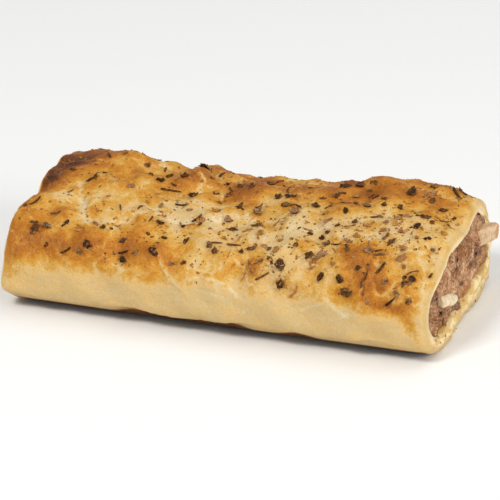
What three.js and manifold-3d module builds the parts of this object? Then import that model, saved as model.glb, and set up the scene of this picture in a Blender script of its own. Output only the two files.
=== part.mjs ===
// A large sausage roll: a broad, low log of minced sausage meat wrapped in puff pastry, cut square at both
// ends and baked with dried herbs strewn over the top. Two solids: the pastry, a thick-walled sleeve with its
// lumps, creases and the larger herb flakes fused to it, and the filling, which runs right through it.
//
// Millimetres. X runs along the roll, -Y is the front, +Z is up, and the roll rests on z = 0.
// A place on the pastry is named by x and by "around": the distance round the skin from the crown's middle
// line, minus towards the front and plus towards the back.
import * as THREE from "three";
import { mergeVertices } from "three/addons/utils/BufferGeometryUtils.js";
import Module from "manifold-3d";

const wasm = await Module();
wasm.setup();

// Driving dimensions.
const LENGTH = 125; // the pastry, from cut end to cut end
const SHIFT_X = -2.1; // brings the middle of the whole object, with its onion, to x = 0
const CROWN_HEIGHTS = [28.9, 29.2, 28.1, 27.6, 29.9, 32.4, 30.2]; // evenly spaced, left end to right end
const WIDTHS = [65.8, 67, 66.6];
const WAIST_HEIGHT = 10; // where the section is widest
const TOP_POWER = 3; // how square the section's shoulders are
const FOOT_POWER = 3;
const BACK_RISE = 0.1; // the crown is this share higher towards the back
const FOOT_SINK = 0.8; // how far the lower curve runs past z = 0, which leaves the base flat
const WALL = { top: 3.2, side: 3.6, base: 4.8 };
const END_RUN = 7; // length over which an end draws in
const END_DRAW = { height: 1.5, halfWidth: 2 };
const LIP_RADIUS = 1.7;
const LIP_INSET = 0.3; // the bore's mouth lies this far inside the cut
const GAP = 0.3; // between the pastry and the filling
const BASE_FADE = [45, 51]; // around: the lumps die out here, so that the base stays flat

// How finely the surfaces are divided.
const AROUND_STEPS = 58;
const SKIN_STEPS = 46;
const LIP_STEPS = 3;
const BORE_STEPS = 5;
const CRUMB_STEPS = { y: 26, z: 10 }; // over the cut faces of the meat
const FINE = 2000; // steps used to measure the girth
const SLOPE_STEP = 0.4; // how far apart two points of the skin are taken to find which way it faces

// ---------------------------------------------------------------------------------------------- helpers

const clamp01 = (v) => Math.min(1, Math.max(0, v));
const smooth = (v) => v * v * (3 - 2 * v);
const fraction = (v) => v - Math.floor(v);
const { lerp, degToRad } = THREE.MathUtils;

// The i-th term of an evenly spread sequence between 0 and 1: the same on every run, with no clumps.
const SPREADS = [0.7548776662, 0.5698402911, 0.8191725134, 0.6710436067, 0.5497004779];
const spread = (i, which) => fraction(0.5 + (i + 1) * SPREADS[which]);

// A smooth curve through evenly spaced values over the length of the roll.
function along(values, x) {
  const at = clamp01(x / LENGTH + 0.5) * (values.length - 1);
  const i = Math.min(values.length - 2, Math.floor(at));
  return lerp(values[i], values[i + 1], smooth(at - i));
}

// ------------------------------------------------------------------------------------- the roll's section

// A point of the section at x. t is an angle: 0 at the back, a quarter turn at the crown, half a turn at the
// front. depth is 0 on the outer skin and 1 on the inner one.
function section(x, t, depth) {
  const nearEnd = clamp01((Math.abs(x) - (LENGTH / 2 - END_RUN)) / END_RUN);
  const draw = 1 - Math.sqrt(1 - nearEnd * nearEnd);
  const halfWidth = along(WIDTHS, x) / 2 - END_DRAW.halfWidth * draw - depth * WALL.side;
  const height = along(CROWN_HEIGHTS, x) - END_DRAW.height * draw - depth * WALL.top;
  const floor = depth * WALL.base;
  const c = Math.cos(t);
  const s = Math.sin(t);
  const upper = s >= 0;
  const y = Math.sign(c) * Math.abs(c) ** (2 / (upper ? TOP_POWER : FOOT_POWER)) * halfWidth;
  const rise = Math.abs(s) ** (2 / (upper ? TOP_POWER : FOOT_POWER));
  const z = upper
    ? WAIST_HEIGHT + (height - WAIST_HEIGHT) * rise * (1 + (BACK_RISE * y) / halfWidth)
    : Math.max(floor, WAIST_HEIGHT - (WAIST_HEIGHT - floor + FOOT_SINK) * rise);
  return new THREE.Vector3(x, y, z);
}

// The girth, measured at the middle of the roll: pairs of "around" and t, from the base's middle, over the
// back and the crown to the front, and round to the base's middle again.
const GIRTH = (() => {
  const t = (i) => (i / FINE - 0.25) * 2 * Math.PI;
  const lengths = [0];
  for (let i = 1; i <= FINE; i++) {
    lengths.push(lengths[i - 1] + section(0, t(i), 0).distanceTo(section(0, t(i - 1), 0)));
  }
  const crown = lengths[FINE / 2];
  return { t, around: lengths.map((length) => crown - length), total: lengths[FINE] };
})();

// The angle t at a distance around the skin.
function angleAt(around) {
  let low = 0;
  let high = FINE;
  while (high - low > 1) {
    const middle = (low + high) >> 1;
    if (GIRTH.around[middle] > around) low = middle;
    else high = middle;
  }
  const share = (GIRTH.around[low] - around) / (GIRTH.around[low] - GIRTH.around[high]);
  return lerp(GIRTH.t(low), GIRTH.t(high), share);
}

// ----------------------------------------------------------------------------------------- lumps and creases

// The larger swellings and hollows of the skin: place, reach along and around, height, and turn in degrees.
const LUMPS = [
  { x: -52, around: 15, reach: [10, 9], height: 1.7, turn: 0 },
  { x: -57, around: -17, reach: [5, 6], height: 0.8, turn: 0 },
  { x: -61, around: -8, reach: [4, 4.5], height: -1.3, turn: 0 },
  { x: -46, around: -14, reach: [3, 9], height: -0.9, turn: 20 },
  { x: -38, around: -4, reach: [7, 7], height: 0.9, turn: 0 },
  { x: -57, around: -30, reach: [5, 6], height: 0.8, turn: 0 },
  { x: -38, around: -29, reach: [8, 5], height: 1.1, turn: 0 },
  { x: -29, around: -19, reach: [10, 2.2], height: -0.8, turn: 5 },
  { x: -28.5, around: -31, reach: [2, 6], height: -0.7, turn: -10 },
  { x: -21, around: -29, reach: [5, 6], height: 1, turn: 0 },
  { x: -25, around: 21, reach: [4, 7], height: -0.9, turn: 0 },
  { x: -19, around: 17, reach: [4, 5], height: 1.3, turn: 0 },
  { x: -16, around: 4, reach: [8, 2.6], height: -1.2, turn: 35 },
  { x: -13, around: -32, reach: [2, 6], height: -0.8, turn: -25 },
  { x: -11, around: -5, reach: [7, 4.5], height: 0.8, turn: 10 },
  { x: -8, around: -23, reach: [5, 6], height: 0.9, turn: 0 },
  { x: -6, around: -14, reach: [9, 2], height: -0.7, turn: 8 },
  { x: -6, around: 19, reach: [6, 6], height: -0.9, turn: 0 },
  { x: 3, around: 8, reach: [6, 6], height: 0.9, turn: 0 },
  { x: 3, around: -28, reach: [7, 6], height: 0.7, turn: 0 },
  { x: 11, around: -14, reach: [2.2, 9], height: -0.9, turn: 20 },
  { x: 17, around: -12, reach: [4, 9], height: 0.9, turn: 15 },
  { x: 17, around: 17, reach: [7, 6], height: -0.6, turn: 0 },
  { x: 25, around: -16, reach: [2.4, 8], height: -0.8, turn: 15 },
  { x: 28, around: -31, reach: [9, 6], height: 0.7, turn: 0 },
  { x: 33, around: -8, reach: [5, 7], height: 0.8, turn: 0 },
  { x: 37, around: 15, reach: [9, 8], height: 0.9, turn: 0 },
  { x: 36, around: -22, reach: [4, 4], height: -0.7, turn: 0 },
  { x: 41, around: -32, reach: [4.5, 6], height: 0.7, turn: 0 },
  { x: 45.5, around: -33, reach: [1.8, 6], height: -0.8, turn: -6 },
  { x: 47, around: -3, reach: [3, 8], height: -0.6, turn: 15 },
  { x: 54, around: -13, reach: [5, 11], height: 0.7, turn: 0 },
  { x: 60, around: -2, reach: [3, 3.5], height: -0.9, turn: 0 },
];
// A row of swellings and hollows by turns, along the back shoulder.
const BACK_LUMPS = {
  count: 17,
  from: 27,
  to: 44,
  reach: [5, 8],
  hollow: [-0.9, 0.1],
  swelling: [0.1, 1.1],
  turn: 30,
};
const RIPPLES = { count: 14, wave: [9, 26], height: 0.14 }; // low waves over all of the skin

function backLumps() {
  const { count, from, to, reach, hollow, swelling, turn } = BACK_LUMPS;
  return Array.from({ length: count }, (_, i) => ({
    x: ((i + 0.5) / count - 0.5) * LENGTH,
    around: lerp(from, to, spread(i, 0)),
    reach: [lerp(...reach, spread(i, 1)), lerp(...reach, spread(i, 2))],
    height: i % 2 ? lerp(...swelling, 1 - spread(i, 3)) : lerp(...hollow, spread(i, 3)),
    turn: lerp(-turn, turn, spread(i, 4)),
  }));
}

const ALL_LUMPS = [...LUMPS, ...backLumps()];

// Height of the skin over its plain section, outwards.
function relief(x, around) {
  let height = 0;
  for (const lump of ALL_LUMPS) {
    const turn = degToRad(lump.turn);
    const dx = x - lump.x;
    const da = around - lump.around;
    const u = (dx * Math.cos(turn) + da * Math.sin(turn)) / lump.reach[0];
    const v = (da * Math.cos(turn) - dx * Math.sin(turn)) / lump.reach[1];
    height += lump.height * Math.exp(-(u * u + v * v));
  }
  for (let i = 0; i < RIPPLES.count; i++) {
    const wave = lerp(...RIPPLES.wave, spread(i, 0));
    const heading = 2 * Math.PI * spread(i, 1);
    const phase = 2 * Math.PI * spread(i, 2);
    const way = x * Math.cos(heading) + around * Math.sin(heading);
    height += RIPPLES.height * Math.sin((2 * Math.PI * way) / wave + phase);
  }
  return height * (1 - smooth(clamp01((Math.abs(around) - BASE_FADE[0]) / (BASE_FADE[1] - BASE_FADE[0]))));
}

// A point of the pastry, with the relief, which dies out through the wall.
function skin(x, around, depth = 0) {
  const t = angleAt(around);
  const point = section(x, t, depth);
  return depth < 1 ? point.addScaledVector(normal(x, around), relief(x, around) * (1 - depth)) : point;
}

// The outward normal of the plain section.
function normal(x, around) {
  const inside = LENGTH / 2 - END_RUN / 2;
  const at = THREE.MathUtils.clamp(x, -inside, inside);
  const step = SLOPE_STEP / 2;
  const onward = section(at, angleAt(around + step), 0).sub(section(at, angleAt(around - step), 0));
  const length = section(at + step, angleAt(around), 0).sub(section(at - step, angleAt(around), 0));
  return length.cross(onward).normalize();
}

// ------------------------------------------------------------------------------------------------- solids

// A closed geometry from rings of points: neighbouring rings are joined, and the last ring to the first, or
// each end ring to a middle point of its own.
function fromRings(rings, endPoints = null) {
  const n = rings[0].length;
  const points = rings.flat();
  const faces = [];
  const quad = (a, b, c, d) => faces.push(a, b, c, a, c, d);
  const last = endPoints ? rings.length - 1 : rings.length;
  for (let r = 0; r < last; r++) {
    const here = r * n;
    const next = ((r + 1) % rings.length) * n;
    for (let i = 0; i < n; i++) quad(here + i, next + i, next + ((i + 1) % n), here + ((i + 1) % n));
  }
  if (endPoints) {
    points.push(...endPoints);
    const lastRing = (rings.length - 1) * n;
    for (let i = 0; i < n; i++) {
      faces.push(points.length - 2, i, (i + 1) % n);
      faces.push(points.length - 1, lastRing + ((i + 1) % n), lastRing + i);
    }
  }
  const geometry = new THREE.BufferGeometry().setFromPoints(points);
  geometry.setIndex(faces);
  return geometry;
}

function toSolid(geometry) {
  const bare = geometry.clone();
  bare.deleteAttribute("normal");
  bare.deleteAttribute("uv");
  const merged = mergeVertices(bare, 1e-4);
  return new wasm.Manifold(
    new wasm.Mesh({
      numProp: 3,
      vertProperties: new Float32Array(merged.attributes.position.array),
      triVerts: new Uint32Array(merged.index.array),
    }),
  );
}

function toGeometry(solid) {
  const mesh = solid.getMesh();
  const geometry = new THREE.BufferGeometry();
  geometry.setAttribute("position", new THREE.BufferAttribute(mesh.vertProperties, 3));
  geometry.setIndex(new THREE.BufferAttribute(mesh.triVerts, 1));
  geometry.computeVertexNormals();
  return geometry;
}

// The distances around at which the rings have their points, from the front base to the back base.
const RING = Array.from({ length: AROUND_STEPS }, (_, i) => ((i + 0.5) / AROUND_STEPS - 0.5) * GIRTH.total);

// Where the bore's wall has its rings, between the two mouths.
const BORE_STATIONS = Array.from({ length: BORE_STEPS - 1 }, (_, i) => ((i + 1) / BORE_STEPS - 0.5) * LENGTH);

// How far the cut stands out or in at a place around the rim: a knife never leaves it quite flat.
const CUT_WAVE = { height: 0.5, waves: 3 };
const cutWave = (around, side) =>
  CUT_WAVE.height * Math.sin((2 * Math.PI * CUT_WAVE.waves * around) / GIRTH.total + side) +
  (CUT_WAVE.height / 2) * Math.cos((2 * Math.PI * (2 * CUT_WAVE.waves + 1) * around) / GIRTH.total);

// The pastry sleeve: the skin from left to right, round the right lip, back through the bore and round the
// left lip.
function pastrySleeve() {
  const half = LENGTH / 2;
  const path = [];
  for (let i = 0; i <= SKIN_STEPS; i++) path.push([(i / SKIN_STEPS - 0.5) * (LENGTH - 2 * LIP_RADIUS), 0]);
  const lip = [];
  for (let i = 1; i <= LIP_STEPS; i++) {
    const turn = (i / LIP_STEPS) * (Math.PI / 2);
    lip.push([half - LIP_RADIUS * (1 - Math.sin(turn)), (LIP_RADIUS * (1 - Math.cos(turn))) / WALL.top]);
  }
  lip.push([half - LIP_INSET, 1]);
  path.push(...lip);
  for (const x of BORE_STATIONS.toReversed()) path.push([x, 1]);
  path.push(...lip.map(([x, depth]) => [-x, depth]).reverse());
  const rings = path.map(([x, depth]) =>
    RING.map((around) => {
      const point = skin(x, around, depth);
      const nearEnd = clamp01((Math.abs(x) - (half - END_RUN)) / END_RUN);
      point.x += Math.sign(x) * nearEnd * cutWave(around, Math.sign(x));
      return point;
    }),
  );
  return toSolid(fromRings(rings));
}

// The surface's own frame at a place on the skin, turned in its plane: X lies along the piece, Z points out.
function seat(x, around, turn) {
  const onward = skin(x, around + SLOPE_STEP).sub(skin(x, around - SLOPE_STEP));
  const length = skin(x + SLOPE_STEP, around).sub(skin(x - SLOPE_STEP, around));
  const out = new THREE.Vector3().crossVectors(length, onward).normalize();
  const first = length.normalize().applyAxisAngle(out, degToRad(turn));
  const second = new THREE.Vector3().crossVectors(out, first);
  return new THREE.Matrix4().makeBasis(first, second, out).setPosition(skin(x, around));
}

// ------------------------------------------------------------------------------------------------- herbs

// A leaf flake is a thin irregular plate, half sunk in the skin, and a stalk is a short rod lying in it.
const LEAF = { sides: 6, thickness: 0.9, raggedness: 0.2 };
const STALK = { sides: 5, radius: 0.42, tipRadius: 0.3 };

function leaf(length, width, number) {
  const plate = new THREE.CylinderGeometry(0.5, 0.5, LEAF.thickness, LEAF.sides).rotateX(Math.PI / 2);
  const place = plate.attributes.position;
  for (let i = 0; i < place.count; i++) {
    const turns = Math.atan2(place.getY(i), place.getX(i)) / (2 * Math.PI) + 1;
    const corner = Math.round(turns * LEAF.sides) % LEAF.sides;
    const reach = 1 + LEAF.raggedness * (2 * spread(number * LEAF.sides + corner, 2) - 1);
    place.setXY(i, place.getX(i) * reach * length, place.getY(i) * reach * width);
  }
  return plate;
}

const stalk = (length, thickness) =>
  new THREE.CylinderGeometry(STALK.radius, STALK.tipRadius, length, STALK.sides)
    .rotateZ(Math.PI / 2)
    .scale(1, thickness, 1);

// The leaf flakes that catch the eye, each at its own place: x, around, length, width and turn in degrees.
const LARGE_LEAVES = [
  [-46.5, -2, 4.4, 1.8, 5],
  [-54, -27, 3.4, 2.3, 60],
  [-37.5, -31.5, 2.6, 1.9, -30],
  [-27, -33, 2.4, 1.7, 30],
  [-18.5, -30.5, 3.2, 1.8, -35],
  [-28.5, 5, 2.3, 1.8, 10],
  [-20, -18, 2.3, 1.6, 50],
  [-19.5, 19, 4.2, 2.4, 20],
  [-6, 10, 3, 1.7, 60],
  [-2.5, -11, 2.4, 1.9, 20],
  [4.5, -7, 2.9, 2.4, 0],
  [11, 4, 3.4, 1.7, 30],
  [12, -0.5, 3.6, 1.5, 5],
  [16, -8, 2.6, 2.2, 0],
  [20, -1, 2.4, 1.6, 50],
  [-1.5, -27, 2.2, 1.6, 40],
  [14.5, -28, 3.6, 2.4, -30],
  [18, -29.5, 3.3, 2.6, 20],
  [25.5, -26, 3, 1.5, 15],
  [31, -32, 3, 1.4, 70],
  [24, 13, 3, 1.9, 20],
  [28.5, 13, 3, 1.7, 0],
  [45, 9, 3.3, 2, 75],
  [48.5, 11, 4.2, 1.5, 45],
  [59, 18, 3, 2, -15],
  [51, -2.5, 4.4, 1.5, 8],
  [50.5, -10, 3.2, 1.8, 30],
  [45, -17, 3, 1.5, 70],
  [51, -23.5, 3.6, 1.4, 30],
  [38.5, -35.5, 3, 2.1, 20],
  [45, -37, 2.2, 1.9, 0],
  [54, -31, 2.8, 1.8, 20],
  [56, -35, 2.4, 1.7, 50],
];
// The stalks that catch the eye: x, around, length, thickness as a share of the usual one, and turn.
const LARGE_STALKS = [
  [-59, -15, 4.4, 1, 50],
  [-24, 1.5, 6, 1, 8],
  [-28, -13, 3.2, 0.8, 80],
  [-11, -13.5, 3.6, 1.1, 50],
  [-2, -24.3, 4.6, 0.9, 8],
  [3, -23, 4.2, 1, 6],
  [14, -33, 4.4, 0.9, 35],
  [10.5, -31, 5, 0.8, -65],
  [23.5, -36, 4, 1, 60],
  [46.5, -28, 4.4, 1.4, 75],
  [44, -23.5, 4.6, 0.9, 28],
  [58, 15, 5.2, 1.1, -40],
];

// The others are strewn evenly, thinner towards the left end, and none lies on the front and back flanks.
const STREWN = {
  count: 74,
  from: -36,
  to: 37,
  leafLength: [1.7, 2.8],
  leafWidth: 0.7, // as a share of its length
  stalkLength: [2.6, 4.2],
  stalkEvery: 3,
  leastLeft: 0.45, // share of the flakes that are kept at the left end
};

function strewnHerb(i, x, around) {
  const isStalk = i % STREWN.stalkEvery === 0;
  const length = lerp(...(isStalk ? STREWN.stalkLength : STREWN.leafLength), spread(i, 2));
  const piece = isStalk ? stalk(length, 1) : leaf(length, length * STREWN.leafWidth, i);
  return piece.applyMatrix4(seat(x, around, 360 * spread(i, 4)));
}

function herbs() {
  const pieces = [];
  LARGE_LEAVES.forEach(([x, around, length, width, turn], i) => {
    pieces.push(leaf(length, width, i).applyMatrix4(seat(x, around, turn)));
  });
  LARGE_STALKS.forEach(([x, around, length, thickness, turn]) => {
    pieces.push(stalk(length, thickness).applyMatrix4(seat(x, around, turn)));
  });
  for (let i = 0; i < STREWN.count; i++) {
    const x = (spread(i, 0) - 0.5) * (LENGTH - 2 * END_RUN);
    const around = lerp(STREWN.from, STREWN.to, spread(i, 1));
    const kept = lerp(STREWN.leastLeft, 1, x / LENGTH + 0.5);
    if (spread(i, 3) <= kept) pieces.push(strewnHerb(i, x, around));
  }
  return pieces.map(toSolid);
}

// ------------------------------------------------------------------------------------------------ filling

const MEAT = { inset: 0.8, bulge: 0.9, crumb: 0.5 }; // how deep its rim lies, how far its middle stands out
const CRUMBS = { count: 9, wave: [5.5, 13] }; // waves at all angles, which add up to coarse crumbs
const PITS = [
  { y: -1, z: 10.5, reach: 2.6, depth: 1.5 },
  { y: -27, z: 12, reach: 2.8, depth: 1.6 },
  { y: 14, z: 17, reach: 2.4, depth: 1.1 },
];
// A slice of onion that sticks out of the right cut, and a lump of fat that shows in it.
const ONION = { size: [8, 1.7, 5.4], at: [63.3, 25.6, 15.4], tilt: [12, -8, 8] };
const FAT = { size: [3, 7, 4], at: [61.4, -13.5, 13], tilt: [35, 0, 0] };

// How far the cut meat stands out from its rim at y, z: a low dome, with crumbs and pits.
function cutMeat(y, z, side) {
  const rimY = WIDTHS[1] / 2 - WALL.side;
  const height = CROWN_HEIGHTS[0] - WALL.top - WALL.base;
  const dome = 1 - (y / rimY) ** 2 - (2 * (z - WALL.base) / height - 1) ** 2;
  let crumbs = 0;
  for (let i = 0; i < CRUMBS.count; i++) {
    const heading = 2 * Math.PI * spread(i, 1);
    const way = y * Math.cos(heading) + z * Math.sin(heading);
    crumbs += Math.sin((2 * Math.PI * way) / lerp(...CRUMBS.wave, spread(i, 0)) + i + side);
  }
  let pits = 0;
  for (const pit of PITS) {
    const away = Math.hypot(y - side * pit.y, z - pit.z) / pit.reach;
    pits += pit.depth * Math.exp(-away * away);
  }
  return MEAT.bulge * Math.max(0, dome) + (MEAT.crumb * crumbs) / Math.sqrt(CRUMBS.count) - pits;
}

// A block as long as the meat, whose two ends are the cut faces.
function cutBlock() {
  const half = LENGTH / 2 - MEAT.inset;
  const height = Math.max(...CROWN_HEIGHTS);
  const block = new THREE.BoxGeometry(2 * half, WIDTHS[1], height, 1, CRUMB_STEPS.y, CRUMB_STEPS.z);
  block.translate(0, 0, height / 2);
  const place = block.attributes.position;
  for (let i = 0; i < place.count; i++) {
    const side = Math.sign(place.getX(i));
    place.setX(i, side * (half + cutMeat(place.getY(i), place.getZ(i), side)));
  }
  return toSolid(block);
}

// The bore, a gap narrower all round, and run on past both cuts.
function boreFill() {
  const depth = 1 + GAP / WALL.top;
  const mouth = LENGTH / 2 - LIP_INSET;
  const past = LENGTH / 2 + END_RUN;
  const ring = (from, x = from) => RING.map((around) => section(from, angleAt(around), depth).setX(x));
  const rings = [-mouth, ...BORE_STATIONS, mouth].map((x) => ring(x));
  rings.unshift(ring(-mouth, -past));
  rings.push(ring(mouth, past));
  const middle = WAIST_HEIGHT + WALL.base / 2;
  return toSolid(fromRings(rings, [new THREE.Vector3(-past, 0, middle), new THREE.Vector3(past, 0, middle)]));
}

function chunk({ size, at, tilt }) {
  const [a, b, c] = tilt.map(degToRad);
  const turned = new THREE.Matrix4().makeRotationFromEuler(new THREE.Euler(a, b, c)).setPosition(...at);
  return toSolid(new THREE.BoxGeometry(...size, 2, 2, 2).applyMatrix4(turned));
}

// ------------------------------------------------------------------------------------------------ the object

function pastrySolid() {
  return herbs().reduce((joined, flake) => joined.add(flake), pastrySleeve());
}

function fillingSolid() {
  return boreFill().intersect(cutBlock()).add(chunk(ONION)).add(chunk(FAT));
}

const pastry = new THREE.Mesh(
  toGeometry(pastrySolid()),
  new THREE.MeshStandardMaterial({ color: 0xd6a55c, roughness: 0.62, metalness: 0 }),
);
pastry.name = "pastry";

const filling = new THREE.Mesh(
  toGeometry(fillingSolid()),
  new THREE.MeshStandardMaterial({ color: 0x9b7560, roughness: 0.75, metalness: 0 }),
);
filling.name = "filling";

const sausageRoll = new THREE.Group();
sausageRoll.name = "sausage_roll";
sausageRoll.position.x = SHIFT_X;
sausageRoll.add(pastry, filling);

export default sausageRoll;
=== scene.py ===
"""A large baked sausage roll: puff pastry round sausage meat, cut at both ends and strewn with dried herbs.

The roll lies along X, its front looks along -Y, and it rests on z = 0. A place on the pastry is named by x
and by "around", the distance round the skin from the crown's middle line: minus towards the front and plus
towards the back. Sizes are in millimetres until a mesh is made of them.
"""

import logging
import math
from dataclasses import dataclass, field
from enum import Enum

import bmesh
import bpy
import numpy as np
from bpy.types import Material, Node, NodeSocket, NodeTree, Object
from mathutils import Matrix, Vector


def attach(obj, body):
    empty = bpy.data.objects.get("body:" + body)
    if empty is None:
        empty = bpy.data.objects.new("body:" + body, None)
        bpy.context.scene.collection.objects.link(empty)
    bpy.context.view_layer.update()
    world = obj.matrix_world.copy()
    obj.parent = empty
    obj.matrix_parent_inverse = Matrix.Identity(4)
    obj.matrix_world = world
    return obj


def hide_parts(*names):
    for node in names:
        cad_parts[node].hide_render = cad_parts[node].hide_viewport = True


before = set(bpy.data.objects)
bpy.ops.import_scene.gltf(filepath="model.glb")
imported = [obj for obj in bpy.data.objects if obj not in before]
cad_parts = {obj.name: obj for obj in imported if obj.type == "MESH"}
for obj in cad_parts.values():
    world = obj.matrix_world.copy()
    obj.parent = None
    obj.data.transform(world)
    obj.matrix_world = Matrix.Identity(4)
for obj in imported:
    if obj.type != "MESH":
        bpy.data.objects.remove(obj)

LOG = logging.getLogger("sausage_roll")
MM = 0.001  # a millimetre in metres
BODY = "root"
Stops = tuple[tuple[float, str], ...]  # a row of colours, each with its place between 0 and 1

# ---- small helpers


def linear(colour: str) -> tuple[float, float, float, float]:
    """Turns an sRGB hex colour into Blender's linear one.

    Args:
        colour: The colour as "#RRGGBB".

    Returns:
        Red, green, blue and an alpha of 1.
    """
    parts = [int(colour[i : i + 2], 16) / 255 for i in (1, 3, 5)]
    red, green, blue = (c / 12.92 if c <= 0.04045 else ((c + 0.055) / 1.055) ** 2.4 for c in parts)
    return red, green, blue, 1.0


def smooth(value: np.ndarray) -> np.ndarray:
    """Eases a value from 0 to 1, and holds it there outside that range."""
    held = np.clip(value, 0, 1)
    return held * held * (3 - 2 * held)


def spread(i: int, which: int) -> float:
    """Gives the i-th term of an evenly spread sequence between 0 and 1, the same on every run.

    Args:
        i: The number of the term.
        which: Which of the sequences it comes from.

    Returns:
        The term.
    """
    steps = (0.7548776662, 0.5698402911, 0.8191725134, 0.6710436067, 0.5497004779)
    return math.modf(0.5 + (i + 1) * steps[which])[0]


def lattice(*corner: np.ndarray, seed: int) -> np.ndarray:
    """Gives each corner of a lattice its own fixed number between 0 and 1.

    Args:
        corner: The corner's whole-number coordinates, one array for each axis.
        seed: Picks another set of numbers.

    Returns:
        The numbers.
    """
    primes = (73856093, 19349663, 83492791)
    mixed = np.full(np.shape(corner[0]), (seed * 2654435761) % 2**32, dtype=np.uint64)
    for axis, prime in zip(corner, primes):
        mixed ^= (axis.astype(np.int64) * prime).astype(np.uint64)
        mixed = ((mixed ^ (mixed >> np.uint64(15))) * np.uint64(2246822519)) % np.uint64(2**32)
    mixed = ((mixed ^ (mixed >> np.uint64(13))) * np.uint64(3266489917)) % np.uint64(2**32)
    return mixed.astype(float) / 2**32


def clouds(points: np.ndarray, wave: float, seed: int, octaves: int = 3) -> np.ndarray:
    """Makes soft noise between about -1 and 1.

    Args:
        points: Points, with their coordinates in millimetres along the last axis.
        wave: The size of the largest clouds in millimetres.
        seed: Picks another noise.
        octaves: How many finer noises are added, each half as large.

    Returns:
        The noise at each point.
    """
    total = np.zeros(points.shape[:-1])
    for octave in range(octaves):
        at = points * (2**octave / wave) + 17.3 * octave
        low = np.floor(at).astype(np.int64)
        share = at - low
        share = share * share * (3 - 2 * share)
        value = np.zeros(points.shape[:-1])
        for corner in np.ndindex(*(2,) * points.shape[-1]):
            weight = np.ones(points.shape[:-1])
            for axis, side in enumerate(corner):
                weight = weight * (share[..., axis] if side else 1 - share[..., axis])
            cell = [low[..., axis] + side for axis, side in enumerate(corner)]
            value += weight * lattice(*cell, seed=seed + octave)
        total += (value - 0.5) / 2**octave
    return total * 1.9


def grains(points: np.ndarray, size: float, seed: int) -> tuple[np.ndarray, np.ndarray, np.ndarray]:
    """Divides a plane into grains, as minced meat is.

    Args:
        points: Points on the plane, in millimetres.
        size: How far apart the grains' middles lie.
        seed: Picks another set of grains.

    Returns:
        The distance to the nearest grain's middle and how much further the next one is, both as shares of
        size, and a number between 0 and 1 for the nearest grain.
    """
    at = points / size
    low = np.floor(at).astype(np.int64)
    nearest = np.full(points.shape[:-1], 9.0)
    second = nearest.copy()
    name = np.zeros(points.shape[:-1])
    for step in np.ndindex(3, 3):
        cell = [low[..., 0] + step[0] - 1, low[..., 1] + step[1] - 1]
        middle = [cell[k] + 0.5 + 0.8 * (lattice(*cell, seed=seed + k) - 0.5) for k in (0, 1)]
        away = np.hypot(at[..., 0] - middle[0], at[..., 1] - middle[1])
        closer = away < nearest
        second = np.where(closer, nearest, np.minimum(second, away))
        name = np.where(closer, lattice(*cell, seed=seed + 5), name)
        nearest = np.where(closer, away, nearest)
    return nearest, second - nearest, name


def make_object(name: str, points: np.ndarray, faces: np.ndarray | list, finish: Material) -> Object:
    """Makes a smooth-shaded mesh object in the frame.

    Args:
        name: The piece's name.
        points: Its vertices in the roll's millimetres.
        faces: Its faces, as rows of vertex numbers.
        finish: Its material.

    Returns:
        The object, whose origin is the frame's.
    """
    mesh = bpy.data.meshes.new(name)
    mesh.from_pydata(np.asarray(points, float) * MM, [], faces)
    mesh.polygons.foreach_set("use_smooth", np.ones(len(mesh.polygons), bool))
    mesh.materials.append(finish)
    mesh.update()
    obj = bpy.data.objects.new(name, mesh)
    bpy.context.scene.collection.objects.link(obj)
    return obj


def icosphere() -> tuple[np.ndarray, np.ndarray]:
    """Gives the points and triangles of a coarse ball with a radius of 1."""
    work = bmesh.new()
    bmesh.ops.create_icosphere(work, subdivisions=2, radius=1)
    points = np.array([vertex.co[:] for vertex in work.verts])
    triangles = np.array([[vertex.index for vertex in face.verts] for face in work.faces])
    work.free()
    return points, triangles


def set_attribute(obj: Object, name: str, values: np.ndarray) -> None:
    """Stores one number for each vertex, for the materials and the strewing to read.

    Args:
        obj: The object whose mesh gets it.
        name: The attribute's name.
        values: A number for each vertex.
    """
    attribute = obj.data.attributes.new(name, "FLOAT", "POINT")
    attribute.data.foreach_set("value", np.asarray(values, np.float32).ravel())


def grid_faces(rows: int, columns: int, wrap_rows: bool = False, wrap_columns: bool = False) -> np.ndarray:
    """Numbers the four-sided faces of a grid of points.

    Args:
        rows: How many rows of points.
        columns: How many points in a row.
        wrap_rows: Joins the last row to the first.
        wrap_columns: Joins each row's end to its start.

    Returns:
        The faces, one row of four vertex numbers each.
    """
    row = np.arange(rows if wrap_rows else rows - 1)[:, None]
    column = np.arange(columns if wrap_columns else columns - 1)[None, :]
    next_row = (row + 1) % rows
    next_column = (column + 1) % columns
    here, onward = row * columns, next_row * columns
    corners = (here + column, onward + column, onward + next_column, here + next_column)
    return np.stack(np.broadcast_arrays(*corners), -1).reshape(-1, 4)


# ---- nodes by name


def socket(sockets: bpy.types.bpy_prop_collection, key: str | int) -> NodeSocket:
    """Finds a node's socket by its place, or the first one in use that has a name."""
    if isinstance(key, int):
        return sockets[key]
    return next(s for s in sockets if s.enabled and s.name == key)


def feed(tree: NodeTree, node: Node, inputs: dict) -> None:
    """Gives a node its inputs.

    Args:
        tree: The node's tree.
        node: The node.
        inputs: For each input, by name or place, a value or the output socket that feeds it.
    """
    for key, value in inputs.items():
        target = socket(node.inputs, key)
        if isinstance(value, NodeSocket):
            tree.links.new(value, target)
        else:
            target.default_value = value


def add_node(tree: NodeTree, kind: str, settings: dict | None = None, inputs: dict | None = None) -> Node:
    """Adds a node with its settings, values and links.

    Args:
        tree: The node tree.
        kind: The node's type.
        settings: The node's own properties.
        inputs: For each input, by name or place, a value or the output socket that feeds it.

    Returns:
        The node.
    """
    node = tree.nodes.new(kind)
    for name, value in (settings or {}).items():
        setattr(node, name, value)
    feed(tree, node, inputs or {})
    return node


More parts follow.
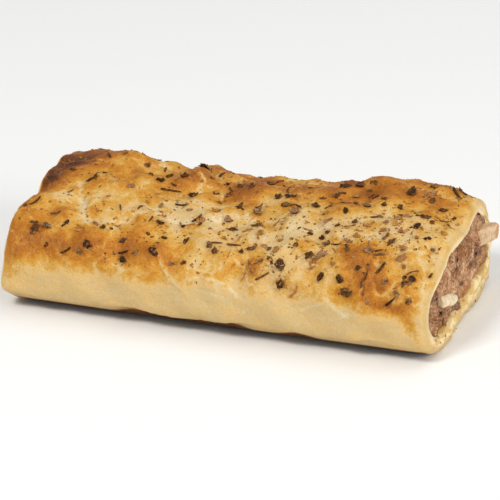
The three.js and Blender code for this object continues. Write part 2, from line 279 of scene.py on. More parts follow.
def new_material(name: str) -> tuple[Material, NodeTree, Node]:
    """Makes a material that holds only its shader and its output.

    Args:
        name: The material's name.

    Returns:
        The material, its node tree and its shader node.
    """
    material = bpy.data.materials.new(name)
    material.use_nodes = True
    tree = material.node_tree
    tree.nodes.clear()
    shader = add_node(tree, "ShaderNodeBsdfPrincipled")
    add_node(tree, "ShaderNodeOutputMaterial", inputs={"Surface": shader.outputs[0]})
    return material, tree, shader


@dataclass
class Painter:
    """Puts together the colours and numbers of one material's node tree."""

    tree: NodeTree

    def attribute(self, name: str) -> NodeSocket:
        """Reads one of the mesh's own numbers."""
        return add_node(self.tree, "ShaderNodeAttribute", {"attribute_name": name}).outputs["Fac"]

    def noise(
        self, size: float, detail: float = 2.0, stretch: tuple[float, float, float] = (1, 1, 1),
        seed: float = 0.0,
    ) -> NodeSocket:
        """Adds clouds of a real size.

        Args:
            size: How large the clouds are, in millimetres.
            detail: How many finer clouds lie in them.
            stretch: How many times longer they are along each axis.
            seed: Moves the clouds along, for another set of them.

        Returns:
            The clouds, between 0 and 1.
        """
        place = add_node(self.tree, "ShaderNodeTexCoord").outputs["Object"]
        scale = [1 / (size * MM * s) for s in stretch]
        moved = add_node(
            self.tree, "ShaderNodeMapping",
            inputs={"Vector": place, "Location": (seed, seed, seed), "Scale": scale},
        )
        inputs = {"Vector": moved.outputs[0], "Scale": 1.0, "Detail": detail}
        return add_node(self.tree, "ShaderNodeTexNoise", inputs=inputs).outputs[0]

    def math(self, operation: str, *values: NodeSocket | float, clamp: bool = False) -> NodeSocket:
        """Works out one number from others."""
        settings = {"operation": operation, "use_clamp": clamp}
        return add_node(self.tree, "ShaderNodeMath", settings, dict(enumerate(values))).outputs[0]

    def ramp(
        self, value: NodeSocket, low: float, high: float, start: float = 0.0, end: float = 1.0
    ) -> NodeSocket:
        """Turns the range from low to high into the one from start to end, eased and held at both."""
        settings = {"interpolation_type": "SMOOTHSTEP"}
        inputs = {"Value": value, "From Min": low, "From Max": high, "To Min": start, "To Max": end}
        return add_node(self.tree, "ShaderNodeMapRange", settings, inputs).outputs[0]

    def colours(self, value: NodeSocket, stops: Stops) -> NodeSocket:
        """Picks a colour from a row of them.

        Args:
            value: Where along the row.
            stops: Each colour's place between 0 and 1, and the colour.

        Returns:
            The colour.
        """
        node = add_node(self.tree, "ShaderNodeValToRGB", inputs={0: value})
        elements = node.color_ramp.elements
        while len(elements) < len(stops):
            elements.new(1.0)
        for element, (place, colour) in zip(elements, stops):
            element.position = place
            element.color = linear(colour)
        return node.outputs[0]

    def mix(
        self, share: NodeSocket | float, first: NodeSocket | str,
        second: NodeSocket | str, blend: str = "MIX",
    ) -> NodeSocket:
        """Mixes two colours.

        Args:
            share: How much of the second there is.
            first: A colour, as a socket or as hex.
            second: The other one.
            blend: How they are mixed.

        Returns:
            The mixed colour.
        """
        pair = [linear(c) if isinstance(c, str) else c for c in (first, second)]
        settings = {"data_type": "RGBA", "blend_type": blend}
        node = add_node(self.tree, "ShaderNodeMix", settings, {0: share, "A": pair[0], "B": pair[1]})
        return socket(node.outputs, "Result")

    def bump(
        self, height: NodeSocket, depth: float, strength: float = 1.0,
        under: NodeSocket | None = None,
    ) -> NodeSocket:
        """Roughens the surface.

        Args:
            height: The relief, between 0 and 1.
            depth: How deep it is, in millimetres.
            strength: How much of it shows.
            under: A coarser relief that it lies on.

        Returns:
            The surface's new normal.
        """
        inputs = {"Height": height, "Distance": depth * MM, "Strength": strength}
        if under is not None:
            inputs["Normal"] = under
        return add_node(self.tree, "ShaderNodeBump", inputs=inputs).outputs[0]


# ---- the roll's form


@dataclass(frozen=True)
class Spot:
    """A soft-edged place on the skin, such as a lump, a hollow or a patch of colour."""

    x: float
    around: float
    reach_x: float
    reach_around: float
    amount: float
    turn: float = 0.0

    def at(self, x: np.ndarray, around: np.ndarray) -> np.ndarray:
        """Gives how much of the spot there is at a place."""
        turn = math.radians(self.turn)
        dx, da = x - self.x, around - self.around
        u = (dx * math.cos(turn) + da * math.sin(turn)) / self.reach_x
        v = (da * math.cos(turn) - dx * math.sin(turn)) / self.reach_around
        return self.amount * np.exp(-(u * u + v * v))


# The swellings and hollows that the solid has too.
LUMPS = (
    Spot(-52, 15, 10, 9, 1.7),
    Spot(-57, -17, 5, 6, 0.8),
    Spot(-61, -8, 4, 4.5, -1.3),
    Spot(-46, -14, 3, 9, -0.9, 20),
    Spot(-38, -4, 7, 7, 0.9),
    Spot(-57, -30, 5, 6, 0.8),
    Spot(-38, -29, 8, 5, 1.1),
    Spot(-29, -19, 10, 2.2, -0.8, 5),
    Spot(-28.5, -31, 2, 6, -0.7, -10),
    Spot(-21, -29, 5, 6, 1),
    Spot(-25, 21, 4, 7, -0.9),
    Spot(-19, 17, 4, 5, 1.3),
    Spot(-16, 4, 8, 2.6, -1.2, 35),
    Spot(-13, -32, 2, 6, -0.8, -25),
    Spot(-11, -5, 7, 4.5, 0.8, 10),
    Spot(-8, -23, 5, 6, 0.9),
    Spot(-6, -14, 9, 2, -0.7, 8),
    Spot(-6, 19, 6, 6, -0.9),
    Spot(3, 8, 6, 6, 0.9),
    Spot(3, -28, 7, 6, 0.7),
    Spot(11, -14, 2.2, 9, -0.9, 20),
    Spot(17, -12, 4, 9, 0.9, 15),
    Spot(17, 17, 7, 6, -0.6),
    Spot(25, -16, 2.4, 8, -0.8, 15),
    Spot(28, -31, 9, 6, 0.7),
    Spot(33, -8, 5, 7, 0.8),
    Spot(37, 15, 9, 8, 0.9),
    Spot(36, -22, 4, 4, -0.7),
    Spot(41, -32, 4.5, 6, 0.7),
    Spot(45.5, -33, 1.8, 6, -0.8, -6),
    Spot(47, -3, 3, 8, -0.6, 15),
    Spot(54, -13, 5, 11, 0.7),
    Spot(60, -2, 3, 3.5, -0.9),
)


@dataclass(frozen=True)
class Wall:
    """How thick the pastry is over the meat, beside it and under it."""

    top: float = 3.2
    side: float = 3.6
    base: float = 4.8


@dataclass
class RollForm:
    """The roll's form, with the same sizes as the solids have."""

    length: float = 125.0
    shift_x: float = -2.1
    crown_heights: tuple[float, ...] = (28.9, 29.2, 28.1, 27.6, 29.9, 32.4, 30.2)
    widths: tuple[float, ...] = (65.8, 67, 66.6)
    waist_height: float = 10.0
    power: float = 3.0  # how square the section's shoulders are
    back_rise: float = 0.1
    foot_sink: float = 0.8
    wall: Wall = field(default_factory=Wall)
    end_run: float = 7.0
    end_draw_height: float = 1.5
    end_draw_width: float = 2.0
    lip_radius: float = 1.7
    lip_inset: float = 0.3
    base_fade: tuple[float, float] = (45.0, 51.0)
    back_lumps: int = 17
    ripples: int = 14
    fine: int = 2000  # steps used to measure the girth

    def __post_init__(self) -> None:
        """Measures the girth at the middle of the roll."""
        self.turns = (np.arange(self.fine + 1) / self.fine - 0.25) * 2 * np.pi
        ring = self.section(np.zeros(self.fine + 1), self.turns, np.zeros(self.fine + 1))
        run = np.concatenate([[0], np.cumsum(np.linalg.norm(np.diff(ring, axis=0), axis=1))])
        self.run = run - run[self.fine // 2]
        self.girth = run[-1]
        self.lumps = LUMPS + tuple(self.back_lump(i) for i in range(self.back_lumps))

    def back_lump(self, i: int) -> Spot:
        """Gives the i-th of the swellings and hollows by turns along the back shoulder."""
        height = 1.1 - spread(i, 3) if i % 2 else spread(i, 3) - 0.9
        x = ((i + 0.5) / self.back_lumps - 0.5) * self.length
        return Spot(
            x, 27 + 17 * spread(i, 0), 5 + 3 * spread(i, 1), 5 + 3 * spread(i, 2), height,
            60 * spread(i, 4) - 30,
        )

    def along(self, values: tuple[float, ...], x: np.ndarray) -> np.ndarray:
        """Follows a smooth curve through evenly spaced values over the length of the roll."""
        row = np.array(values)
        at = np.clip(x / self.length + 0.5, 0, 1) * (len(row) - 1)
        i = np.minimum(len(row) - 2, np.floor(at).astype(int))
        share = smooth(at - i)
        return row[i] * (1 - share) + row[i + 1] * share

    def section(self, x: np.ndarray | float, turn: np.ndarray, depth: np.ndarray | float) -> np.ndarray:
        """Gives points of the plain section.

        Args:
            x: Where along the roll.
            turn: The angle round the section: 0 at the back and a quarter turn at the crown.
            depth: 0 on the outer skin and 1 on the inner one.

        Returns:
            The points.
        """
        x, turn, depth = np.broadcast_arrays(x, turn, depth)
        near_end = np.clip((np.abs(x) - (self.length / 2 - self.end_run)) / self.end_run, 0, 1)
        draw = 1 - np.sqrt(1 - near_end * near_end)
        half_width = self.along(self.widths, x) / 2 - self.end_draw_width * draw - depth * self.wall.side
        height = self.along(self.crown_heights, x) - self.end_draw_height * draw - depth * self.wall.top
        floor = depth * self.wall.base
        c, s = np.cos(turn), np.sin(turn)
        y = np.sign(c) * np.abs(c) ** (2 / self.power) * half_width
        rise = np.abs(s) ** (2 / self.power)
        fuller = 1 + self.back_rise * y / half_width
        crown = self.waist_height + (height - self.waist_height) * rise * fuller
        foot = np.maximum(floor, self.waist_height - (self.waist_height - floor + self.foot_sink) * rise)
        return np.stack([x, y, np.where(s >= 0, crown, foot)], -1)

    def turn_at(self, around: np.ndarray) -> np.ndarray:
        """Gives the angle of the section at a distance around the skin."""
        return np.interp(-np.asarray(around, float), self.run, self.turns)

    def lumpiness(self, x: np.ndarray, around: np.ndarray) -> np.ndarray:
        """Gives the height of the solid's skin over its plain section."""
        height = sum(lump.at(x, around) for lump in self.lumps)
        for i in range(self.ripples):
            wave = 9 + 17 * spread(i, 0)
            heading = 2 * math.pi * spread(i, 1)
            way = x * math.cos(heading) + around * math.sin(heading)
            height = height + 0.14 * np.sin(2 * math.pi * (way / wave + spread(i, 2)))
        start, end = self.base_fade
        return height * (1 - smooth((np.abs(around) - start) / (end - start)))

    def normal(self, x: np.ndarray, around: np.ndarray) -> np.ndarray:
        """Gives the outward normal of the plain section."""
        x, around = np.broadcast_arrays(x, around)
        inside = self.length / 2 - self.end_run / 2
        at = np.clip(x, -inside, inside)
        step = 0.2
        onward = self.section(at, self.turn_at(around + step), 0.0)
        onward = onward - self.section(at, self.turn_at(around - step), 0.0)
        turn = self.turn_at(around)
        length = self.section(at + step, turn, 0.0) - self.section(at - step, turn, 0.0)
        normal = np.cross(length, onward)
        return normal / np.linalg.norm(normal, axis=-1, keepdims=True)

    def cut_wave(self, x: np.ndarray, around: np.ndarray) -> np.ndarray:
        """Gives how far the cut stands out along X, because a knife never leaves it quite flat."""
        side = np.sign(x)
        near_end = np.clip((np.abs(x) - (self.length / 2 - self.end_run)) / self.end_run, 0, 1)
        turn = 2 * math.pi * around / self.girth
        return side * near_end * (0.5 * np.sin(3 * turn + side) + 0.25 * np.cos(7 * turn))


# ---- creases, flaps and browning


@dataclass(frozen=True)
class Crease:
    """A line on the skin where the dough has folded, cracked or split."""

    points: tuple[tuple[float, float], ...]
    width: float = 0.8
    height: float = -0.3  # minus for a groove, plus for a ridge
    # A pale below 0 paints shade into the line instead: a darker, greyer groove.
    pale: float = 0.6  # how much of the unbaked dough shows in it

    def distance(self, x: np.ndarray, around: np.ndarray) -> tuple[np.ndarray, np.ndarray]:
        """Measures how far places are from the line.

        Args:
            x: The places' x.
            around: The places' distance around.

        Returns:
            The distance, and on which side the place lies: 1 on the left of the line's way and -1 on its
            right.
        """
        best = np.full(np.shape(x), 1e9)
        side = np.ones(np.shape(x))
        for (ax, aa), (bx, ba) in zip(self.points, self.points[1:]):
            run_x, run_a = bx - ax, ba - aa
            share = np.clip(((x - ax) * run_x + (around - aa) * run_a) / (run_x**2 + run_a**2), 0, 1)
            dx, da = x - ax - share * run_x, around - aa - share * run_a
            away = np.hypot(dx, da)
            side = np.where(away < best, np.where(run_x * da - run_a * dx >= 0, 1, -1), side)
            best = np.minimum(best, away)
        return best, side


CREASES = (
    Crease(((-50, -3), (-47.5, -9), (-44.5, -14), (-43.5, -19), (-41, -21.5)), 0.8, -0.35, 0.75),
    Crease(((-41, -21.5), (-37, -22), (-33, -20), (-29, -16.8), (-26, -15.3)), 0.9, -0.25, 0.7),
    Crease(((-41, 1.5), (-39.5, -3), (-37.8, -6)), 0.5, -0.2, 0.5),
    Crease(((-31, 2), (-31.8, -2), (-33.6, -5.5)), 0.5, -0.2, 0.45),
    Crease(((-25, -5), (-21, 0), (-17.5, 5), (-15, 10)), 0.9, -0.45, 0.0),
    Crease(((-22, -14.5), (-18, -15.5), (-14, -16), (-10, -14.5), (-5, -11.8)), 1.1, -0.3, 0.95),
    Crease(((-5, -11.8), (-2, -8.6), (1, -8), (4.5, -9.8)), 0.9, -0.25, 0.8),
    Crease(((-3.2, -14.2), (-4.5, -16.5), (-6, -19)), 0.6, -0.2, 0.5),
    Crease(((12, -6), (13.4, -10), (13.8, -15), (13, -20), (14, -24)), 1.1, -0.5, 0.25),
    Crease(((16, -2), (18, -7), (19, -11)), 0.7, -0.25, 0.4),
    Crease(((21, -14.8), (25, -13.2), (29, -12.6)), 1.2, -0.25, 0.9),
    Crease(((31, -16), (34, -19), (38, -20.5)), 0.8, -0.25, 0.5),
    # This crease and the one from x 31 to 33.6 have a pale below 0: painted shade in their grooves.
    Crease(((43.3, -27), (43.1, -32), (43.3, -36.5)), 0.45, -0.55, -0.5),
    Crease(((26, -40.6), (29, -39.2), (32, -38.2), (33.5, -37.2)), 0.4, 0.22, 0.5),
    Crease(((29, -42.4), (34, -42), (39, -40.6)), 0.5, 0.15, 0.15),
    Crease(((-4, -38), (0, -38.6), (5, -40.2), (9.5, -43)), 0.6, -0.15, 0.25),
    Crease(((9.5, -43), (12, -39), (15, -36)), 0.6, -0.15, 0.3),
    Crease(((11, 15), (12.3, 9), (14.6, 3), (15.2, -1)), 0.6, -0.3, 0.45),
    Crease(((-14.5, 18), (-12.6, 13), (-10.5, 9)), 0.6, 0.25, 0.4),
    Crease(((-50, -30.5), (-46.5, -26), (-44, -22)), 0.6, -0.25, 0.3),
    Crease(((-46, -31), (-45.8, -34.5), (-42, -36.3)), 0.5, 0.15, 0.25),
    Crease(((-55, -36.5), (-53, -34), (-54.5, -31)), 0.5, 0.2, 0.3),
    Crease(((31, 12), (32.5, 7), (33.6, 3)), 1.0, -0.35, -0.35),
    Crease(((57, 5), (59, 0), (60.5, -5), (60.8, -12)), 0.6, -0.2, 0.4),
)

# A flap's edge: the layer on the left of its way lies on top of the one on its right.
FLAPS = (
    Crease(((-17, -30.5), (-15, -34), (-13, -36.6), (-10.5, -38.4)), 3.5, 0.55, 0.75),
    Crease(((7.5, -38.2), (4, -35.6), (1, -34.8), (-3, -34.4), (-6.8, -35.2)), 3.0, 0.4, 0.7),
    Crease(((-22, 16), (-20.6, 11.6), (-17.4, 9.4)), 2.4, 0.5, 0.5),
    Crease(((-16, 20), (-15.6, 15.4), (-13.4, 11.6), (-9.4, 10)), 2.6, 0.45, 0.3),
    Crease(((48, -38.4), (44.5, -37.4), (43.3, -35.4), (43.6, -31)), 3.0, 0.4, 0.3),
    Crease(((-3, 2), (-1.4, -2), (0.6, -6.5)), 2.6, 0.35, 0.2),
    Crease(((-27, -36.4), (-23.5, -36), (-19.6, -37.2), (-17.4, -35.2)), 2.2, 0.35, 0.3),
    Crease(((60.4, -20), (60, -27), (59.4, -33)), 2.6, 0.3, 0.4),
    Crease(((42.6, -37.2), (41, -39.6), (38, -40), (35.2, -38.7), (33.5, -37.2)), 2.4, 0.35, 0.5),
)

# Slight rises and sags that the solid leaves out.
SAGS = (
    Spot(-62, -4, 3, 4, 0.6),
    Spot(-61, -9, 4, 5, 1.1),
    Spot(-56, 14, 6, 8, -1.3),
    Spot(-57, 25, 6, 7, -0.8),
    Spot(-43, 16, 6, 8, 0.5),
    Spot(-28, 26, 6, 8, -1.2),
    Spot(-14, 26, 5, 7, -0.5),
    Spot(12, 27, 12, 9, -1.4),
    Spot(56, 22, 6, 7, 0.7),
)

# How brown the pastry is above or below the plain bake of its height on the roll.
BROWNING = (
    # This spot and the third, dark brown-grey at the left end, are real browning with painted shade on it.
    Spot(-58, 9, 8, 9, 0.5),
    Spot(-51, 17, 9, 8, 0.26),
    Spot(-59, -3, 5, 6, 0.36),
    Spot(-61, -12, 5, 14, 0.28),
    Spot(0, 21, 8, 5, 0.13),
    Spot(54, 20, 6, 5, 0.06),
    Spot(-12, 14, 4, 5, 0.08),
    Spot(-61, -39, 4, 6, 0.2),
    Spot(-30, -38, 30, 3, 0.04),
    Spot(14, 24, 8, 5, 0.12),
    Spot(-42, 9, 11, 9, 0.13),
    Spot(-48, 0, 6, 4, 0.13, -20),
    Spot(-36, 2, 5, 7, 0.12),
    Spot(-20, 13, 8, 8, 0.3),
    Spot(-22, 9, 5, 7, 0.14),
    Spot(-4, 11, 8, 9, 0.34),
    Spot(-6, 3, 5, 5, 0.16),
    Spot(10, 11, 9, 10, 0.25),
    Spot(4, 22, 6, 5, -0.1),
    Spot(24, 11, 9, 10, 0.36),
    Spot(33, 6, 4, 8, 0.13),
    Spot(40, 10, 9, 9, 0.34),
    Spot(53, 8, 7, 9, 0.19),
    Spot(50, 21, 8, 6, 0.1),
    Spot(-59, -31, 7, 8.5, 0.23),
    Spot(-49, -32.5, 7, 6, 0.22),
    Spot(-38, -31, 9, 7, 0.27),
    Spot(-25, -30, 8, 6.2, 0.28),
    Spot(-17, -29, 3.5, 5, 0.16),
    Spot(-11, -31.5, 3.5, 2.2, 0.14),
    Spot(-50, -21, 5, 5, 0.2),
    Spot(-42, -37.4, 15, 1.8, -0.08),
    Spot(-46, -6, 4, 8, 0.1, -20),
    Spot(2, -34, 9, 3, 0.08),
    Spot(36, -25, 4, 4, 0.24),
    Spot(42, -30, 5.5, 6, 0.32),
    Spot(50, -33, 6, 4, 0.13),
    Spot(49.5, -37.6, 7, 1.7, 0.28),
    Spot(56.5, -40.6, 4.6, 2.2, 0.25, -50),
    Spot(59.4, -45, 1.2, 3.5, 0.12),
    Spot(57, -33, 4, 6, 0.08),
    Spot(55, -16, 6, 12, -0.05),
    Spot(-33, -13, 10, 4, -0.06),
    Spot(-40, -18, 20, 4, 0.07),
    Spot(-7, -26, 7, 4.5, 0.09),
    Spot(16, -27, 6, 5, 0.09),
    Spot(30, -19, 7, 4, 0.07),
    Spot(-14, -14, 10, 4, -0.1),
    Spot(28, -13, 8, 6, -0.1),
    Spot(16, -17, 4, 8, -0.08),
    Spot(-30, -41, 20, 3, -0.03),
)


@dataclass
class Skin:
    """The pastry's outer skin, with the fine creases, flaps and blisters that the solid leaves out."""

    form: RollForm
    lip_pale: tuple[float, float] = (0.7, 1.8)  # how far from the left and the right cut the skin stays pale
    back_creases: int = 28
    top_reach: float = 35.0  # how far round from the crown the blistered top goes
    top_fade: float = 6.0  # over how far it turns into the flanks
    puff: float = 1.2  # how much fuller the lumps are than the solid's
    dome: Spot = Spot(-50, 14, 10, 10, 0.75)  # where the crust has risen without cracking

    def __post_init__(self) -> None:
        """Adds the creases of the back, which run as those of the front do."""
        self.creases = CREASES + tuple(self.back_crease(i) for i in range(self.back_creases))

    def back_crease(self, i: int) -> Crease:
        """Gives the i-th crease of the back: a short line that wanders over the back shoulder."""
        x = ((i + 0.5) / self.back_creases - 0.5) * (self.form.length - 10)
        around = 10 + 36 * spread(i, 0)
        heading = math.radians(-70 + 140 * spread(i, 1))
        points = []
        for step in range(4):
            points.append((x, around))
            heading += 0.9 * (spread(5 * i + step, 2) - 0.5)
            x += 3.2 * math.cos(heading)
            around += 3.2 * math.sin(heading)
        return Crease(tuple(points), 0.5 + 0.5 * spread(i, 3), -0.35 + 0.5 * (i % 3 == 0), 0.6 * spread(i, 4))

    def topness(self, around: np.ndarray) -> np.ndarray:
        """Is 1 on the blistered top and 0 on the smooth flanks."""
        return 1 - smooth((np.abs(around) - self.top_reach) / self.top_fade)

    def relief(self, x: np.ndarray, around: np.ndarray) -> np.ndarray:
        """Gives the height of the finished skin over the plain section."""
        height = self.puff * self.form.lumpiness(x, around) + self.rise(x, around)
        height = height + sum(sag.at(x, around) for sag in SAGS)
        fade = 1 - smooth((np.abs(around) - 47) / 4)
        for crease in self.creases:
            away, _ = crease.distance(x, around)
            height = height + crease.height * np.exp(-((away / crease.width) ** 2)) * fade
        for flap in FLAPS:
            away, side = flap.distance(x, around)
            over = smooth(0.5 + side * away / 0.5) * np.exp(-((away / flap.width) ** 2))
            height = height + flap.height * over
        return height - 1.2 * self.hem(x, around)

    def plates(self, x: np.ndarray, around: np.ndarray) -> tuple[np.ndarray, np.ndarray]:
        """Divides the top's thin outer layer into the plates that it cracked into.

        Args:
            x: The places' x.
            around: The places' distance around.

        Returns:
            A number for the plate that each place is on, from -0.5 to 0.5, and how much of a plate's edge
            there is.
        """
        place = np.stack(np.broadcast_arrays(x, around), -1)
        warp = np.stack([clouds(place, 7, 51, 3), clouds(place, 7, 57, 3)], -1)
        _, gap, name = grains(place * (1.0, 0.8) + 2.6 * warp, 8.5, 53)
        shown = smooth(0.55 + 1.2 * clouds(place, 12, 58, 2)) * self.topness(around)
        return (name - 0.5) * self.topness(around) * smooth(gap / 0.2), np.exp(-((gap / 0.06) ** 2)) * shown

    def rise(self, x: np.ndarray, around: np.ndarray) -> np.ndarray:
        """Gives the height of the top's blisters and wrinkles, and of the flanks' soft slanting folds."""
        top = self.topness(around)
        place = np.stack(np.broadcast_arrays(x, around), -1)
        blisters = 0.33 * clouds(place, 6.0, 3, 2) + 0.18 * clouds(place, 2.4, 9, 2)
        along, down = place[..., 0], place[..., 1]
        slanted = np.stack([along + 0.6 * down, 0.35 * (down - 0.6 * along)], -1)
        wrinkles = 0.25 * (0.35 - np.abs(clouds(slanted, 5.0, 33, 2)))
        folds = (0.24 - 0.1 * top) * clouds(slanted * 0.7, 5.0, 21, 2)
        plate, edge = self.plates(x, around)
        calm = (1 - smooth((np.abs(around) - 46) / 5)) * (1 - self.dome.at(x, around))
        return ((blisters + wrinkles) * (0.2 + 0.8 * top) + folds + 0.35 * plate - 0.18 * edge) * calm

    def hem(self, x: np.ndarray, around: np.ndarray) -> np.ndarray:
        """Gives how deep the groove is where the outer layer's hem stands off the base."""
        lifted = smooth((x + 32) / 8) * (1 - smooth((x - 4) / 8)) + 0.8 * np.exp(-(((x - 23.5) / 3.8) ** 2))
        edge = -48.6 + 0.9 * np.sin(x / 5.5) + 1.2 * np.exp(-(((x - 23.5) / 3.0) ** 2))
        return (0.25 + lifted) * smooth((edge + 0.7 - around) / 0.9) * smooth((around + 53.5) / 2.0)

    def surface(self, x: np.ndarray, around: np.ndarray) -> np.ndarray:
        """Gives points of the finished skin."""
        x, around = np.broadcast_arrays(np.asarray(x, float), np.asarray(around, float))
        points = self.form.section(x, self.form.turn_at(around), 0.0)
        return points + self.form.normal(x, around) * self.relief(x, around)[..., None]

    def seat(self, x: float, around: float) -> tuple[np.ndarray, np.ndarray, np.ndarray, np.ndarray]:
        """Finds how the skin lies at a place.

        Args:
            x: Where along the roll.
            around: Where around it.

        Returns:
            The point, the way along the roll, the way around it and the way out.
        """
        step = 0.4
        points = self.surface(
            np.array([x, x + step, x - step, x, x]), around + np.array([0, 0, 0, step, -step])
        )
        length = points[1] - points[2]
        out = np.cross(length, points[3] - points[4])
        length, out = length / np.linalg.norm(length), out / np.linalg.norm(out)
        return points[0], length, np.cross(out, length), out

    def bake(self, x: np.ndarray, around: np.ndarray) -> np.ndarray:
        """Gives how brown the skin is: 0 for pale dough, 1 for nearly burnt."""
        place = np.stack(np.broadcast_arrays(x, around), -1)
        wavy = np.abs(around) + np.where(around > 0, 3.2, 0.7) * clouds(place, 15, 71, 4)
        plain = 0.32 - 0.14 * smooth((wavy - 36) / np.where(around > 0, 9, 4))
        back = smooth((around - 14) / 8) * (1 - smooth((wavy - 34) / 9))
        back_patches = back * (0.12 + 0.2 * clouds(place, 13, 40, 2))
        back_patches = back_patches + 0.09 * clouds(place, 9, 73, 3) * smooth((around - 34) / 6)
        to_cut = self.form.length / 2 - np.abs(x)
        under = 0.8 * smooth((np.abs(around) - 51.2) / 1.4) * smooth((to_cut - 1.6) / 1.5)
        brown = plain + back_patches + under + sum(spot.at(x, around) for spot in BROWNING)
        plate, edge = self.plates(x, around)
        cracked = 1 - self.dome.at(x, around)
        brown = brown + 0.07 * clouds(place, 4.5, 61, 3) * self.topness(around)
        brown = brown + (0.1 * plate - 0.05 * edge) * cracked
        lip = 1 - smooth((to_cut - 0.6) / np.where(x < 0, *self.lip_pale))
        return brown + 0.8 * lip * (1 - smooth((np.abs(around) - 50) / 3)) * (0.235 - brown)

    def pallor(self, x: np.ndarray, around: np.ndarray) -> np.ndarray:
        """Gives how much pale dough shows in the creases and on the flaps' edges, and below 0 painted shade:
        a painted shadow in the hem's groove and in two creases, and painted shade on the base's edge, whose
        crust is also really darker.
        """
        # Minus the hem: a painted shadow in its groove, where the hem stands off the base.
        pale = 0.4 * self.plates(x, around)[1] - 0.27 * self.hem(x, around)
        inside = smooth((self.form.length / 2 - np.abs(x) - 2) / 2)
        # Darker on the base's edge: its real dark-brown crust, with painted shade on it.
        pale = pale - 0.4 * smooth((np.abs(around) - 51) / 1.5) * inside
        for crease in self.creases:
            away, _ = crease.distance(x, around)
            pale = pale + 0.8 * crease.pale * np.exp(-((away / (1.1 * crease.width)) ** 2))
        for flap in FLAPS:
            away, side = flap.distance(x, around)
            pale = pale + 0.85 * flap.pale * np.exp(-((away / 0.9) ** 2)) * smooth(0.6 + side * away / 0.4)
        return np.clip(pale, -1, 1)


# ---- finishes


@dataclass(frozen=True)
class BakedPastry:
    """Baked puff pastry: pale cream dough that turns golden and then brown, satin where it was glazed."""

    bakes: Stops = (
        (0.0, "#DFC898"), (0.1, "#D6BD8B"), (0.16, "#CDB07A"), (0.25, "#DDB87A"), (0.32, "#D2A85C"),
        (0.42, "#CF973A"), (0.56, "#BE7A24"), (0.72, "#9A5817"), (0.88, "#683711"), (1.0, "#45270F"),
    )
    crease: str = "#E2CFA8"
    # Dark grey-brown for painted shade in the hem's groove and two creases, and for the base edge's real dark
    # crust with painted shade on it.
    dark_crust_and_shade: str = "#3E2A1A"
    oil: str = "#B98540"
    freckle: str = "#8A5320"
    layer_light: str = "#F4DDAC"
    layer_dark: str = "#DDB874"

    def build(self) -> Material:
        """Makes the material."""
        material, tree, shader = new_material("baked_pastry")
        paint = Painter(tree)
        pallor = paint.attribute("pallor")
        broken = paint.ramp(paint.noise(1.3, 4.0, seed=2.0), 0.3, 0.56)
        pale = paint.math("MULTIPLY", paint.math("MAXIMUM", pallor, 0.0), broken)
        brown = paint.math("MULTIPLY_ADD", pale, -0.3, self.brownness(paint), clamp=True)
        colour = paint.colours(brown, self.bakes)
        shown = paint.math("MULTIPLY", pale, paint.ramp(brown, 0.2, 0.55, 0.62, 0.15))
        colour = paint.mix(shown, colour, self.crease)
        # Pallor below 0 is painted shade, and on the base's edge also real dark crust: it mixes in the dark
        # grey-brown.
        burnt = paint.math("MULTIPLY", paint.math("MINIMUM", pallor, 0.0), -1.0)
        colour = paint.mix(burnt, colour, self.dark_crust_and_shade)
        smudge = paint.ramp(paint.noise(0.9, 2.0, seed=6.0), 0.3, 0.65)
        oily = paint.math("MULTIPLY", paint.attribute("halo"), smudge)
        colour = paint.mix(oily, colour, self.oil, "MULTIPLY")
        dust = paint.ramp(paint.noise(0.55, 1.0, seed=11.0), 0.66, 0.74)
        dusty = paint.math("MULTIPLY", dust, paint.ramp(paint.attribute("strewn"), 0.1, 0.7, 0.0, 0.6))
        colour = paint.mix(dusty, colour, self.freckle)
        uneven = paint.math("MULTIPLY_ADD", paint.noise(0.8, 4.0, seed=17.0), 0.9, -0.47)
        layer = paint.math("ADD", paint.attribute("layer"), uneven)
        layers = paint.mix(paint.ramp(layer, 0.25, 0.75), self.layer_dark, self.layer_light)
        colour = paint.mix(paint.attribute("cut"), colour, layers)
        blisters = paint.bump(paint.noise(1.7, 4.0, seed=1.0), 0.9, 0.6)
        inputs = {
            "Base Color": colour, "Normal": paint.bump(paint.noise(0.5, 3.0, seed=5.0), 0.22, 0.6, blisters),
            "Roughness": paint.ramp(brown, 0.25, 0.7, 0.6, 0.44), "IOR": 1.44, "Specular IOR Level": 0.22,
            "Subsurface Weight": 0.1, "Subsurface Radius": (1.0, 0.55, 0.25), "Subsurface Scale": 1.2 * MM,
        }
        feed(tree, shader, inputs)
        return material

    def brownness(self, paint: Painter) -> NodeSocket:
        """Makes the bake uneven: browner on what stands up, patchy on the top and finely grained.

        Args:
            paint: The material's painter.

        Returns:
            How brown the crust is, between 0 and 1.
        """
        bake = paint.attribute("bake")
        wide = paint.math("MULTIPLY_ADD", paint.noise(6.0, 4.0), 0.32, -0.16)
        patchy = paint.math("MULTIPLY_ADD", paint.noise(1.7, 4.0, seed=4.0), 0.4, -0.2)
        raised = paint.math("MULTIPLY", paint.attribute("rise"), 0.12)
        grain = paint.math("MULTIPLY_ADD", paint.noise(0.45, 2.0, seed=9.0), 0.36, -0.18)
        top = paint.math(
            "MULTIPLY", paint.ramp(bake, 0.19, 0.34, 0.35, 1.0), paint.ramp(bake, 0.45, 0.7, 1.0, 0.25)
        )
        uneven = paint.math("MULTIPLY", paint.math("ADD", paint.math("ADD", wide, patchy), raised), top)
        soft = paint.math("MULTIPLY_ADD", paint.noise(4.2, 1.0, (1.5, 1.0, 1.0), 14.0), 0.12, -0.057)
        below = paint.math("MULTIPLY", soft, paint.ramp(bake, 0.24, 0.4, 1.0, 0.3))
        return paint.math("ADD", paint.math("ADD", bake, grain), paint.math("ADD", uneven, below), clamp=True)


